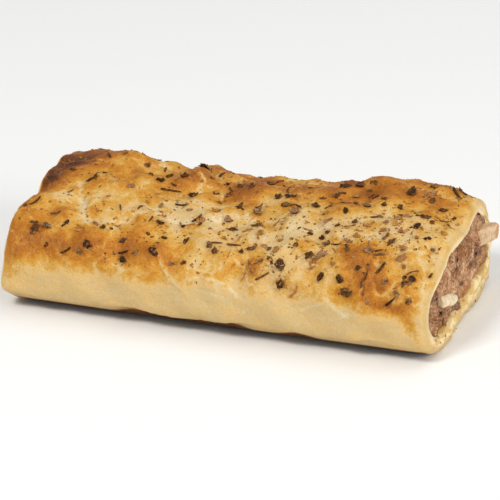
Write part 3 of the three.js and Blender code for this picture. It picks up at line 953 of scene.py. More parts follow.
@dataclass(frozen=True)
class Crumb:
    """Pastry crumbs: dry and dull, from cream to toasted brown."""

    tones: Stops = (
        (0.0, "#E8D3A4"), (0.6, "#D3B077"), (0.85, "#A97A40"), (1.0, "#7A5028")
    )

    def build(self) -> Material:
        """Makes the material."""
        material, tree, shader = new_material("pastry_crumb")
        paint = Painter(tree)
        inputs = {
            "Base Color": paint.colours(paint.attribute("tone"), self.tones),
            "Normal": paint.bump(paint.noise(0.4, 3.0), 0.15, 0.8), "Roughness": 0.8,
        }
        feed(tree, shader, inputs)
        return material


@dataclass(frozen=True)
class CookedMince:
    """Cooked sausage meat: pinkish brown crumbs, moist, with paler fat between them."""

    meats: Stops = (
        (0.0, "#603C1E"), (0.3, "#9C6A40"), (0.55, "#C08B62"), (0.8, "#DCB287"), (1.0, "#EED4B6"),
    )
    # Dark brown for the real browned lumps and for painted shade in the crevices, pits, hollows and at the
    # rim.
    deep: str = "#482C15"
    juice: str = "#A56A2C"

    def build(self) -> Material:
        """Makes the material."""
        material, tree, shader = new_material("cooked_mince")
        paint = Painter(tree)
        tone = paint.math("MULTIPLY_ADD", paint.attribute("tone"), 0.55, 0.02)
        fibres = paint.math("MULTIPLY_ADD", paint.noise(0.6, 4.0, (1.0, 1.15, 1.0)), 1.8, -0.73)
        mottled = paint.math("ADD", tone, fibres, clamp=True)
        colour = paint.colours(mottled, self.meats)
        colour = paint.mix(paint.attribute("juicy"), colour, self.juice)
        # Browned lumps and painted shade.
        colour = paint.mix(paint.attribute("deep"), colour, self.deep)
        inputs = {
            "Base Color": colour,
            "Normal": paint.bump(paint.noise(0.5, 4.0, (1.0, 1.2, 1.0), 3.0), 0.4, 0.9),
            "Roughness": paint.ramp(paint.noise(1.1, 2.0, seed=7.0), 0.3, 0.7, 0.38, 0.66), "IOR": 1.42,
            "Specular IOR Level": 0.35, "Subsurface Weight": 0.15, "Subsurface Radius": (1.0, 0.4, 0.25),
            "Subsurface Scale": 1.5 * MM,
        }
        feed(tree, shader, inputs)
        return material


@dataclass(frozen=True)
class DriedHerb:
    """Dried and toasted herb: papery, nearly black where it is burnt, grey-green or brown elsewhere."""

    tones: Stops = (
        (0.0, "#24170B"), (0.2, "#4C331B"), (0.42, "#754B22"), (0.58, "#7E6444"), (0.7, "#B28E6A"),
        (0.84, "#945418"), (1.0, "#BC843C"),
    )

    def build(self) -> Material:
        """Makes the material."""
        material, tree, shader = new_material("dried_herb")
        paint = Painter(tree)
        speckle = paint.math("MULTIPLY_ADD", paint.noise(0.4, 3.0), 0.9, -0.39)
        tone = paint.math("ADD", paint.attribute("tone"), speckle, clamp=True)
        inputs = {
            "Base Color": paint.colours(tone, self.tones),
            "Normal": paint.bump(paint.noise(0.35, 3.0, seed=3.0), 0.15, 0.9),
            "Roughness": paint.ramp(paint.noise(0.6, 1.0, seed=8.0), 0.3, 0.7, 0.5, 0.85), "IOR": 1.45,
            "Specular IOR Level": 0.18,
        }
        feed(tree, shader, inputs)
        return material


@dataclass(frozen=True)
class SoftChunk:
    """Cooked onion or fat: pale, waxy and a little see-through, with fine fibres and browned edges."""

    name: str
    light: str
    dark: str
    edge: str
    glow: float

    def build(self) -> Material:
        """Makes the material."""
        material, tree, shader = new_material(self.name)
        paint = Painter(tree)
        fibres = paint.noise(0.5, 4.0, stretch=(1.0, 1.0, 3.0))
        cloudy = paint.noise(1.6, 3.0, seed=3.0)
        share = paint.ramp(paint.math("ADD", fibres, cloudy), 0.75, 1.3)
        colour = paint.mix(share, self.light, self.dark)
        browned = paint.math("MULTIPLY", paint.attribute("edge"), paint.ramp(cloudy, 0.3, 0.6, 0.2, 0.8))
        inputs = {
            "Base Color": paint.mix(browned, colour, self.edge), "Normal": paint.bump(fibres, 0.3, 0.7),
            "Roughness": paint.ramp(cloudy, 0.3, 0.7, 0.28, 0.5), "IOR": 1.38,
            "Subsurface Weight": self.glow, "Subsurface Radius": (1.0, 0.7, 0.5),
            "Subsurface Scale": 1.5 * MM,
        }
        feed(tree, shader, inputs)
        return material


# ---- pastry


@dataclass
class Pastry:
    """The pastry sleeve: its skin, its rounded lips, its layered cut faces and its bore."""

    skin: Skin
    top_steps: int = 250  # round the top and the flanks
    base_steps: int = 70  # across the flat base
    length_steps: int = 232
    lip_steps: int = 6
    cut_steps: int = 12
    bore_steps: int = 8
    layers: int = 3
    # Where the herbs lie thickest.
    thick: tuple[Spot, ...] = (
        Spot(33, -18, 15, 8, 0.6), Spot(8, -6, 9, 5, 0.25), Spot(48, -6, 9, 8, 0.25),
    )
    # How the cuts lean along the roll.
    lean: tuple[Spot, ...] = (Spot(62, -41, 9, 10, -1.8), Spot(-62, -46, 9, 10, -0.9))
    # Where the wall is thicker or thinner at the cuts, over what reach and by how much.
    mouth: tuple[tuple[float, float, float], ...] = (
        (-17, 9, 1.5), (7, 4, 0.4), (16.5, 4, -1.7), (27, 4, 0.8), (66, 13, 3.2), (-67, 11, 1.1),
        (90, 9, 2.0),
    )
    mouth_run: float = 8.0  # how far in from the cuts that goes

    def places_around(self) -> np.ndarray:
        """Gives the distances around of the grid's lines, closer together where the skin shows."""
        flank = 52.0
        half = self.skin.form.girth / 2
        top = np.linspace(-flank, flank, self.top_steps, endpoint=False)
        base = np.linspace(flank, 2 * half - flank, self.base_steps, endpoint=False)
        base = np.where(base > half, base - 2 * half, base)
        return np.concatenate([base[base < 0], top, base[base >= 0]])

    def path(self) -> list[tuple[float, float]]:
        """Gives the grid's rings as x and depth: over the skin, a lip, the bore and the other lip."""
        form = self.skin.form
        half = form.length / 2
        flat = half - form.lip_radius
        stations = [(x, 0.0) for x in np.linspace(-flat, flat, self.length_steps)]
        lip = []
        for i in range(1, self.lip_steps + 1):
            turn = i / self.lip_steps * math.pi / 2
            depth = form.lip_radius * (1 - math.cos(turn)) / form.wall.top
            lip.append((half - form.lip_radius * (1 - math.sin(turn)), depth))
        start = lip[-1][1]
        for i in range(1, self.cut_steps + 1):
            share = i / self.cut_steps
            lip.append((half - form.lip_inset * share, start + (1 - start) * share))
        bore = [(x, 1.0) for x in np.linspace(half - 3, 3 - half, self.bore_steps)]
        return stations + lip + bore + [(-x, depth) for x, depth in reversed(lip)]

    def mouth_inset(self, around: np.ndarray) -> np.ndarray:
        """Gives how much thicker or thinner the wall is at the cut than further in."""
        return sum(amount * np.exp(-(((around - place) / reach) ** 2)) for place, reach, amount in self.mouth)

    def build(self, finish: Material, herbs: list["Flake"]) -> Object:
        """Makes the pastry.

        Args:
            finish: Its material.
            herbs: The placed herbs, which leave an oily stain round them.

        Returns:
            The piece, with the numbers that its material and the strewing read.
        """
        form = self.skin.form
        around = self.places_around()[None, :]
        path = self.path()
        x = np.array([station[0] for station in path])[:, None]
        depth = np.array([station[1] for station in path])[:, None]
        x, around, depth = np.broadcast_arrays(x, around, depth)
        points = form.section(x, form.turn_at(around), depth)
        normal = form.normal(x, around)
        points = points + normal * (self.skin.relief(x, around) * (1 - depth))[..., None]
        to_end = form.length / 2 - np.abs(x)
        near_end = smooth(1 - to_end / self.mouth_run)
        points = points - normal * (self.mouth_inset(around) * near_end * depth)[..., None]
        section = points[..., 1:]
        start = form.lip_radius / form.wall.top
        cut = smooth((depth - 0.6 * start) / (0.35 * start)) * (np.abs(x) > form.length / 2 - 2)
        wander = 0.9 * clouds(section, 6.0, 12, 3)
        layer = 0.5 + 0.5 * np.sin(2 * math.pi * (depth * self.layers + wander))
        layered = smooth((around - 24) / 6) + smooth((-around - 47) / 4)
        flaky = (0.2 + 0.8 * layered) * (0.2 * (layer - 0.5) + 0.7 * clouds(section, 3.0, 31, 4))
        patchy = 0.7 + 0.8 * clouds(section, 3.5, 39, 3)
        soaked = 0.7 * smooth((depth - 0.35) / 0.5) * smooth((np.abs(around) - 48) / 6) * patchy
        streaks = 0.42 * clouds(section, 1.5, 35, 3) * layered
        layer = 0.8 - soaked + (0.2 + 0.3 * layered) * (layer - 0.75) + streaks
        front = around < 0
        base = smooth((np.abs(around) - np.where(front, 52, 50)) / np.where(front, 9, 5))
        base = base * (depth > 0) * (depth < 1)
        squared = np.where(depth <= start, 0.8 * to_end, 0) + 0.6 * smooth(depth / (0.4 * start))
        ragged = 0.9 + 0.7 * clouds(section, 2.2, 37, 3)
        points[..., 0] += form.cut_wave(x, around) + np.sign(x) * (cut * flaky + base * squared * ragged)
        points[..., 0] += sum(spot.at(x, around) for spot in self.lean) * smooth(np.abs(x) / 9 - 5.9)
        points[..., 2] = np.maximum(points[..., 2], 0)
        rings, columns = x.shape
        obj = make_object(
            "puff_pastry", points.reshape(-1, 3) + (form.shift_x, 0, 0),
            grid_faces(rings, columns, True, True)[:, ::-1], finish,
        )
        outside = depth < 0.9 * start
        set_attribute(obj, "bake", self.skin.bake(x, around))
        set_attribute(obj, "rise", np.clip(self.skin.rise(x, around) / 0.6, -1, 1) * outside)
        set_attribute(obj, "pallor", self.skin.pallor(x, around) * outside)
        set_attribute(obj, "cut", cut + (depth >= 1))
        set_attribute(obj, "layer", layer)
        set_attribute(obj, "halo", self.halo(x, around, herbs) * outside)
        set_attribute(obj, "strewn", self.strewn(x, around, depth))
        return obj

    def halo(self, x: np.ndarray, around: np.ndarray, herbs: list["Flake"]) -> np.ndarray:
        """Gives the oily stain round the placed herbs."""
        darkening = np.zeros(x.shape)
        for i, herb in enumerate(herbs):
            reach = 0.45 * herb.length + 0.5
            amount = 0.15 + 0.5 * spread(i, 3)
            darkening += amount * np.exp(-((x - herb.x) ** 2 + (around - herb.around) ** 2) / reach**2)
        return np.clip(darkening, 0, 1)

    def strewn(self, x: np.ndarray, around: np.ndarray, depth: np.ndarray) -> np.ndarray:
        """Gives how thickly the fine herbs lie: on the top alone, and thinner towards the left end."""
        place = np.stack([x, around], -1)
        band = smooth((around + 37) / 6) * (1 - smooth((around - 34) / 6))
        share = 0.32 + 0.6 * smooth(x / self.skin.form.length + 0.5)
        share = share + sum(patch.at(x, around) for patch in self.thick)
        clumps = np.clip(0.65 + 0.9 * clouds(place, 9, 77, 2), 0.1, 1)
        inside = (depth == 0) & (np.abs(x) < self.skin.form.length / 2 - 2)
        return band * share * clumps * inside


# ---- filling

# y, z, reach and depth of the pits, as in the solid.
PITS = ((-1, 10.5, 2.6, 1.5), (-27, 12, 2.8, 1.6), (14, 17, 2.4, 1.1))
# y, z and reach of the browned lumps.
BROWNED = ((-19, 9.8, 1.7), (0.5, 10.8, 1.5), (9, 14.5, 1.2), (-8, 19.5, 1.1), (17, 13, 1.3))


def closeness(y: np.ndarray, z: np.ndarray, middle: tuple[float, float], reach: float) -> np.ndarray:
    """Is 1 in the middle of a spot on the cut face, and fades away from it."""
    return np.exp(-((y - middle[0]) ** 2 + (z - middle[1]) ** 2) / reach**2)


@dataclass
class Filling:
    """The sausage meat, which fills the bore from cut to cut."""

    form: RollForm
    columns: int = 221
    rows: int = 89
    tube_rings: int = 9
    inset: float = 0.8
    bulge: float = 0.9
    crumb: float = 0.5
    corner: float = 2 ** (-1 / 3)  # where the section's corners lie, as a share of its half width
    rim_depth: float = 1.02  # how deep the rim lies, as a share of the pastry's thickness
    faces_apart: float = 90.0  # how far the noise moves on between one cut face and the other

    def cut_meat(self, y: np.ndarray, z: np.ndarray, side: int) -> np.ndarray:
        """Gives how far the solid's cut face stands out from its rim."""
        rim_y = self.form.widths[1] / 2 - self.form.wall.side
        height = self.form.crown_heights[0] - self.form.wall.top - self.form.wall.base
        dome = 1 - (y / rim_y) ** 2 - (2 * (z - self.form.wall.base) / height - 1) ** 2
        crumbs = np.zeros(y.shape)
        count = 9
        for i in range(count):
            heading = 2 * math.pi * spread(i, 1)
            way = y * math.cos(heading) + z * math.sin(heading)
            crumbs += np.sin(2 * math.pi * way / (5.5 + 7.5 * spread(i, 0)) + i + side)
        pits = sum(d * closeness(y, z, (side * py, pz), reach) for py, pz, reach, d in PITS)
        return self.bulge * np.maximum(0, dome) + self.crumb * crumbs / math.sqrt(count) - pits

    def face_plan(self) -> tuple[np.ndarray, np.ndarray]:
        """Lays an even grid over the cut face.

        Returns:
            For each point of the grid its share of the way from the middle to the rim, and the angle of the
            section that it lies on.
        """
        u, v = np.meshgrid(np.linspace(-1, 1, self.columns), np.linspace(-1, 1, self.rows))
        share = np.maximum(np.abs(u), np.abs(v))
        safe = np.where(share == 0, 1, share)
        p, q = u / safe * self.corner, v / safe * self.corner
        flat = np.abs(v) >= np.abs(u)
        c = np.where(flat, np.sign(p) * np.abs(p) ** 1.5, 0)
        s = np.where(flat, 0, np.sign(q) * np.abs(q) ** 1.5)
        c = np.where(flat, c, np.sign(p) * np.sqrt(1 - s * s))
        s = np.where(flat, np.sign(q) * np.sqrt(1 - c * c), s)
        return share, np.arctan2(s, c)

    def face_at(self, y: float, z: float, side: int) -> float:
        """Gives the x of the cut face at a place on it."""
        out = float(self.cut_meat(np.array([y]), np.array([z]), side)[0])
        return side * (self.form.length / 2 - self.inset + out)

    def build(self, finish: Material) -> Object:
        """Makes the meat: two crumbled cut faces on the ends of a tube."""
        form = self.form
        share, turn = self.face_plan()
        mouth = form.length / 2 - form.lip_inset
        rim_index = self.rim()
        points, faces, tone, deep, juicy = [], [], [], [], []
        for side in (-1, 1):
            rim = form.section(side * mouth, turn, self.rim_depth)
            rim[..., 2] += 1.5 * np.exp(-(((rim[..., 1] - 16.5) / 3.5) ** 2)) * (rim[..., 2] > 15)
            crown = form.along(form.crown_heights, np.array(side * mouth))
            middle_z = (form.wall.base + crown - form.wall.top) / 2
            y = share * rim[..., 1]
            z = middle_z + share * (rim[..., 2] - middle_z)
            place = np.stack([y + self.faces_apart * side, z], -1)
            shaken = place + 0.5 * np.stack([clouds(place, 1.6, 50, 2), clouds(place, 1.6, 60, 2)], -1)
            near, gap, name = grains(shaken * (0.8, 1.0), 1.3, 7)
            fine_near, _, fine_name = grains(place * (0.85, 1.0), 0.6, 19)
            crevice = np.exp(-((gap / 0.14) ** 2)) * smooth(0.5 + clouds(place, 3.0, 45, 2))
            rough = clouds(place, 4.5, 80, 4)
            height = 0.3 * (0.5 - near) - 0.16 * crevice + 0.16 * (0.5 - fine_near) + 0.6 * rough
            flush = np.maximum(smooth((9 - z) / 4), smooth((side * y - 22) / 5))
            edge = share**8 * (0.7 * flush - 0.5) - 1.3 * smooth((-y - 18) / 10) * (side > 0)
            level = form.length / 2 - self.inset + self.cut_meat(y, z, side)
            x = side * (level + height * (1 - share**6) + edge)
            points.append(np.stack([x, y, z], -1).reshape(-1, 3))
            face = grid_faces(self.rows, self.columns) + (0 if side < 0 else self.rows * self.columns)
            faces.append(face if side < 0 else face[:, ::-1])
            speckled = 0.4 * name + 0.4 * fine_name + 0.1 + 0.5 * clouds(place, 4.5, 90, 3)
            tone.append(np.clip(speckled, 0, 1).ravel())
            pits = sum(closeness(y, z, (side * py, pz), 0.8 * reach) for py, pz, reach, _ in PITS)
            lumps = sum(closeness(y, z, (side * by, bz), reach) for by, bz, reach in BROWNED)
            browned = 0.75 * lumps * (0.75 + clouds(place, 1.4, 97, 2))
            # Painted shade in the pits and in the low places of the rough relief, with the real browned
            # lumps.
            darkening = 0.6 * pits + browned + 0.8 * np.clip(-rough - 0.3, 0, 1)
            # More painted shade in the crevices between the grains and on the rim beside the pastry.
            deep.append(np.clip(0.3 * crevice + darkening + 0.4 * share**10, 0, 0.85).ravel())
            wet = 0.25 * smooth((12 - z) / 5) - 0.1 + 0.7 * share**6 * flush
            juicy.append(np.clip(0.6 * clouds(place, 3.5, 95, 3) + wet, 0, 0.8).ravel())
        stations = np.linspace(-mouth, mouth, self.tube_rings + 2)[1:-1]
        rim_turns = turn.reshape(-1)[rim_index]
        count = len(rim_index)
        for x in stations:
            points.append(form.section(x, rim_turns, self.rim_depth))
        plane = self.rows * self.columns
        rings = [2 * plane + k * count + np.arange(count) for k in range(len(stations))]
        loops = [rim_index] + rings + [rim_index + plane]
        for here, onward in zip(loops, loops[1:]):
            faces.append(np.stack([here, onward, np.roll(onward, -1), np.roll(here, -1)], -1)[:, ::-1])
        rest = np.zeros(count * len(stations))
        moved = np.concatenate(points) + (form.shift_x, 0, 0)
        obj = make_object("sausage_meat", moved, np.concatenate(faces), finish)
        set_attribute(obj, "tone", np.concatenate(tone + [rest + 0.5]))
        set_attribute(obj, "deep", np.concatenate(deep + [rest]))
        set_attribute(obj, "juicy", np.concatenate(juicy + [rest]))
        return obj

    def rim(self) -> np.ndarray:
        """Numbers the grid's outer points in order round the face."""
        number = np.arange(self.rows * self.columns).reshape(self.rows, self.columns)
        return np.concatenate([number[0, :-1], number[:-1, -1], number[-1, :0:-1], number[:0:-1, 0]])


@dataclass
class Chunk:
    """An uneven slab of onion or fat in the cut face, with rounded edges that have browned."""

    name: str
    size: tuple[float, float, float]
    at: tuple[float, float, float]
    tilt: tuple[float, float, float]
    power: float = 4.0  # how square it is
    rough: float = 0.5  # how uneven it is, in millimetres
    steps: int = 24

    def build(self, form: RollForm, finish: Material) -> Object:
        """Makes the chunk as a rounded box that tapers and is uneven."""
        u = np.linspace(-1, 1, self.steps + 1)
        a, b = np.meshgrid(u, u, indexing="ij")
        sides, faces = [], []
        for axis in range(3):
            for side in (-1, 1):
                face = np.empty(a.shape + (3,))
                face[..., axis], face[..., (axis + 1) % 3], face[..., (axis + 2) % 3] = side, a, b
                quads = grid_faces(*a.shape) + len(sides) * a.size
                sides.append(face.reshape(-1, 3))
                faces.append(quads if side > 0 else quads[:, ::-1])
        cube = np.concatenate(sides)
        ball = cube * (np.abs(cube) ** self.power).sum(1, keepdims=True) ** (-1 / self.power)
        body = ball * np.array(self.size) / 2
        place = body + np.array(self.at)
        noise = np.stack([clouds(place, 3.2, 11 + k, 3) for k in range(3)], -1)
        taper = 1 - 0.22 * ball[:, 1:2]
        body = body * np.concatenate([taper, np.ones_like(taper), taper], 1) + self.rough * noise
        a, b, c = (math.radians(t) for t in self.tilt)
        rx = np.array([[1, 0, 0], [0, math.cos(a), -math.sin(a)], [0, math.sin(a), math.cos(a)]])
        ry = np.array([[math.cos(b), 0, math.sin(b)], [0, 1, 0], [-math.sin(b), 0, math.cos(b)]])
        rz = np.array([[math.cos(c), -math.sin(c), 0], [math.sin(c), math.cos(c), 0], [0, 0, 1]])
        body = body @ (rx @ ry @ rz).T + np.array(self.at) + (form.shift_x, 0, 0)
        obj = make_object(self.name, body, np.concatenate(faces), finish)
        rims = smooth((np.sort(np.abs(ball), 1)[:, 1] - 0.72) / 0.25)
        set_attribute(obj, "edge", np.maximum(rims, smooth((ball[:, 1] - 0.6) / 0.3)))
        merge_doubles(obj)
        return obj


def merge_doubles(obj: Object) -> None:
    """Joins the vertices that lie on each other, and turns all the faces outwards."""
    work = bmesh.new()
    work.from_mesh(obj.data)
    bmesh.ops.remove_doubles(work, verts=work.verts, dist=1e-7)
    bmesh.ops.recalc_face_normals(work, faces=work.faces)
    work.to_mesh(obj.data)
    work.free()


# ---- herbs


class HerbKind(Enum):
    """What a dried herb flake is."""

    LEAF = "leaf"
    STALK = "stalk"


class Tone(Enum):
    """How far a herb is burnt, as a place along the herb's row of colours."""

    BURNT = 0.1
    DARK = 0.24
    BROWN = 0.4
    GREY = 0.58
    PINK = 0.7
    ORANGE = 0.86
    TAN = 0.97


@dataclass(frozen=True)
class Flake:
    """A herb flake at a place on the pastry."""

    kind: HerbKind
    tone: Tone
    x: float
    around: float
    length: float
    width: float  # a leaf's width, or a stalk's thickness as a share of the usual one
    turn: float


# x, around, length, width and turn of the leaves that catch the eye, as near as the solid has them.
LARGE_LEAVES = {
    Tone.BURNT: (
        (-46.5, -2, 4.4, 1.8, 5), (-37.5, -31.5, 2.6, 1.9, -30), (-27, -33, 2.4, 1.7, 30),
        (-18.5, -30.5, 3.2, 1.8, -35), (-28.5, 5, 2.3, 1.8, 10), (-20, -18, 2.3, 1.6, 50),
        (11, 4, 3.4, 1.7, 30), (18, -29.5, 3.3, 2.6, 20), (31, -32, 3, 1.4, 70), (24, 13, 3, 1.9, 20),
        (45, 9, 3.3, 2, 75), (57, 19.6, 2.8, 2.0, -15), (50.5, -10, 3.2, 1.8, 30),
    ),
    Tone.DARK: (
        (-54.2, -29.2, 4.6, 3.4, 55), (-19.5, 19, 4.2, 2.4, 20), (-6, 10, 3, 1.7, 60),
        (20, -1, 2.4, 1.6, 50), (-1.5, -27, 2.2, 1.6, 40), (14.5, -28, 3.6, 2.4, -30),
        (25.5, -26, 3, 1.5, 15), (28.5, 13, 3, 1.7, 0), (38.5, -35.5, 3, 2.1, 20), (54, -31, 2.8, 1.8, 20),
        (51, -2.5, 4.4, 1.5, 8),
    ),
    Tone.BROWN: ((12, -0.5, 3.6, 1.5, 5), (45, -17, 3, 1.5, 70), (56, -35, 2.4, 1.7, 50)),
    Tone.GREY: (
        (-2.5, -11, 2.4, 1.9, 20), (4.5, -7, 2.9, 2.4, 0), (16, -8, 2.6, 2.2, 0), (45, -37, 2.2, 1.9, 0)
    ),
    Tone.PINK: ((51, -23.5, 3.6, 1.4, 30), (49.3, 10.4, 4.4, 1.9, 45)),
    Tone.TAN: ((33, 2, 3.4, 1.3, 40),),
}
# x, around, length, thickness and turn of the stalks that do.
LARGE_STALKS = {
    Tone.BURNT: (
        (-58, -17.5, 4.2, 1, 50), (-24, 1.5, 6, 1, 8), (46.5, -28, 4.4, 1.4, 75), (56.5, 15.8, 7.4, 1.7, -50)
    ),
    Tone.DARK: (
        (-28, -13, 3.2, 0.8, 80), (-11, -13.5, 3.6, 1.1, 50), (-2, -24.3, 4.6, 0.9, 8), (3, -23, 4.2, 1, 6),
        (14, -33, 4.4, 0.9, 35), (44, -23.5, 4.6, 0.9, 28),
    ),
    Tone.BROWN: ((10.5, -31, 5, 0.8, -65),),
    Tone.ORANGE: ((23.5, -36, 4, 1, 60),),
}
# The smaller leaves between them, which the solid leaves out.
SMALL_LEAVES = {
    Tone.BURNT: (
        (-49.7, -32.8, 1.5, 1.1, 80), (-35.2, -24.2, 1.6, 1.1, 30), (-17, -24.2, 1.5, 1.1, 10),
        (-13.7, -17.8, 1.5, 1.1, 0), (-10.2, 11, 3.6, 1.1, -75), (-8.9, -16.9, 3.4, 0.9, 92),
        (22.9, -16.1, 1.8, 1.2, -40), (26.8, -17.8, 1.9, 1.2, -35), (55.7, -14.4, 2.2, 1.6, 30),
        (40.6, -29.4, 1.7, 1.2, 0), (51.3, -8.6, 2.2, 1, 40), (53.7, -29.2, 1.5, 1.1, 60),
        (39.5, -0.5, 1.8, 1.2, 20), (-46.3, -25.5, 2.3, 1, 70), (35.4, 5.6, 2, 1.2, 20),
    ),
    Tone.DARK: (
        (-54.2, 3.2, 2.2, 1.1, -25), (-55.3, -26.4, 2.4, 0.8, 12), (-27.5, 10.2, 3.6, 1.3, 80),
        (-28.1, -28, 2.4, 0.9, 40), (-23.2, -17.3, 2.8, 0.8, 88), (-9.4, -31.7, 2.1, 1.2, 20),
        (-10.6, -23.4, 2.5, 1, 78), (0, -15, 3.6, 1, -20), (-1.4, -4, 3.6, 1, 80), (6.3, -13, 3.4, 1.1, 25),
        (7.7, -23.8, 2.1, 0.9, 20), (6.1, -25.7, 1.5, 1.1, 70), (-11.4, 3.1, 2.6, 1.4, 60),
        (-7.5, 4.3, 3, 1.3, 70), (-2.3, 8.7, 2.4, 1.4, 85), (25.2, 7.7, 2, 1.3, 20),
        (31.8, 11.6, 1.6, 1.1, 0), (44.1, 0, 1.8, 1.2, -30), (51.2, 8.5, 2.2, 1.2, 70),
        (55, 3.9, 2.2, 1, 20), (58.9, 2.9, 2.3, 1.1, 60), (54.2, -3.6, 1.7, 1, 10),
        (27.9, -15.7, 2, 1.2, -30), (34.1, -10.9, 1.8, 1.1, 35), (46.8, -19.2, 3.2, 1.1, 65),
        (56.2, -29.6, 2.4, 1.9, 30), (60.3, -27.8, 1.6, 0.8, 60), (-60, -20, 1.8, 1, 70),
        (35.4, -22.4, 3.6, 1.3, -65), (42.5, -33, 2.2, 0.7, 85), (-43, 16, 2.2, 1.2, 60),
        (-35.5, 14, 1.8, 1.2, 20),
    ),
    Tone.BROWN: (
        (-39, -33.2, 2, 1.3, 20), (-32.6, 8.1, 4.6, 1.1, -62), (-12.7, -32.1, 4.6, 1, 8),
        (35, -1.1, 2.4, 1.4, 0), (-23.4, -31, 1.8, 1, 60), (-6.4, -7.6, 2.2, 1.1, 70),
        (29.6, -12.6, 1.6, 1, 0), (21, -22.6, 1.7, 1.1, 30), (49, -31.5, 1.9, 1.2, 50),
        (-15.6, -1.2, 2.6, 0.8, 75), (20.5, 4.2, 1.9, 1.1, 0), (58.4, -17, 1.6, 1, 20),
    ),
    Tone.GREY: (
        (-37.8, -23.2, 2.2, 1, -40), (-23, -9.6, 2.2, 1, 80), (-34.2, -3.2, 2.6, 1.5, 40),
        (47, -4.6, 3.8, 1.2, 24), (45.6, -7.8, 3, 1.8, 5), (42, -23.6, 2.2, 1.6, 0),
        (28.8, -25.7, 3, 1.7, 18), (-8.4, -1.4, 2.2, 1.1, 20), (40, -6.8, 1.8, 1, 30),
        (52.4, -33.6, 2, 1.2, -20),
    ),
    Tone.PINK: (
        (29.1, 6.4, 2.5, 1, 20), (26.6, -10.7, 4.6, 1, 62), (34.1, -19.2, 3, 1.5, -50),
        (-14.8, -9.6, 2, 0.9, 10), (48, -13.4, 2, 1, 70), (33.4, 8.4, 2, 0.8, 40),
        (43.2, -10.4, 1.9, 0.9, 0),
    ),
    Tone.ORANGE: (
        (-20.7, -14.3, 1.8, 1.2, 0), (9.2, -18.2, 1.9, 1.5, 20), (11.7, -22.3, 1.7, 1.4, 0),
        (9.1, -22.5, 1.6, 1.2, 60), (-7.3, -9, 2.2, 1.8, 30), (38.8, -11.7, 3, 0.9, 60),
        (50.8, -20.7, 2.4, 1.7, 0), (27, -29.6, 2.4, 1.1, 30), (59.1, -9.6, 1.8, 1.5, 0),
        (60.6, 1.4, 1.6, 0.9, 60), (-38.6, -10.4, 1.6, 1, 40), (-31.4, -22.6, 1.5, 1, 0),
        (15.4, -20.4, 1.7, 1.1, 20), (3.6, -19.8, 1.6, 1.1, 50), (33, -28.4, 1.9, 0.9, -30),
        (52.6, -26, 1.6, 1.2, 70), (18.8, -34.4, 2.4, 1.4, -15), (23.8, -21, 1.6, 1.1, 0),
        (-0.8, -20.6, 1.6, 1, 70), (43.4, -14, 1.8, 1, 20),
    ),
    Tone.TAN: (
        (-41.1, -26.7, 2.8, 1.7, 10), (15.7, -24.8, 2.3, 1.3, 40), (24.2, -6.2, 2, 1.1, 20),
        (46, -11, 2, 1.2, 60),
    ),
}
# y, z, length and turn of the flakes in the right cut face. The left one has them the other way round.
HERBS_IN_MEAT = (
    (18.5, 25.4, 1.6, 30), (8, 18.3, 1.8, 60), (11.7, 17.4, 1.4, 0), (23, 15.4, 1.2, 45),
    (-6.4, 21.6, 1.6, 20), (-0.9, 21.4, 1.4, 70), (-11.9, 20.3, 1.8, 10), (-17, 20.2, 1.5, 50),
    (-21, 11.4, 2.6, 80), (-20, 8.8, 2.0, 30), (4, 12.5, 1.5, 0), (-9.5, 9.2, 1.8, 60),
    (15.5, 14.2, 1.4, 40), (-26, 18, 1.4, 20), (19, 20, 1.2, 0),
)
SMALL_STALKS = {
    Tone.BURNT: (
        (-44.7, 3.3, 3, 0.9, 86), (3.2, -1.5, 4.6, 0.8, 80), (31.8, -20.7, 3.2, 0.8, 8),
        (39, -7.4, 3, 0.8, 40),
    ),
    Tone.DARK: (
        (-33.4, -14.8, 2.2, 0.8, -65), (28.5, 0.6, 3.4, 0.7, 8), (23.5, -0.3, 3, 0.7, 55),
        (57.1, -1.1, 3.8, 0.6, 40), (55.6, -27.4, 3.8, 0.5, 25), (43.1, -31, 3.4, 0.6, 84),
        (43.3, -34.6, 2.4, 0.5, 80), (14.5, 12.6, 3.4, 0.8, 70),
    ),
    Tone.GREY: (
        (-26.5, -2.8, 3, 0.6, 70), (33.6, -13.4, 3.6, 0.7, 35), (41.4, -21, 2.8, 0.6, -70),
        (-50.5, -9, 2.6, 0.6, 60),
    ),
    Tone.ORANGE: (
        (11.9, -11.5, 3.8, 0.6, 72), (32, -23.6, 3.8, 0.8, -52), (36.6, -15, 2.6, 0.6, 20),
        (-24, 8, 3.2, 0.7, 75),
    ),
    Tone.TAN: ((-11.6, -17.4, 3, 0.7, 5), (8.4, -33, 3, 0.5, 70), (27.4, -27.8, 2.4, 0.5, 20)),
}


PLACED_HERBS = (
    (HerbKind.LEAF, LARGE_LEAVES), (HerbKind.LEAF, SMALL_LEAVES),
    (HerbKind.STALK, LARGE_STALKS), (HerbKind.STALK, SMALL_STALKS),
)


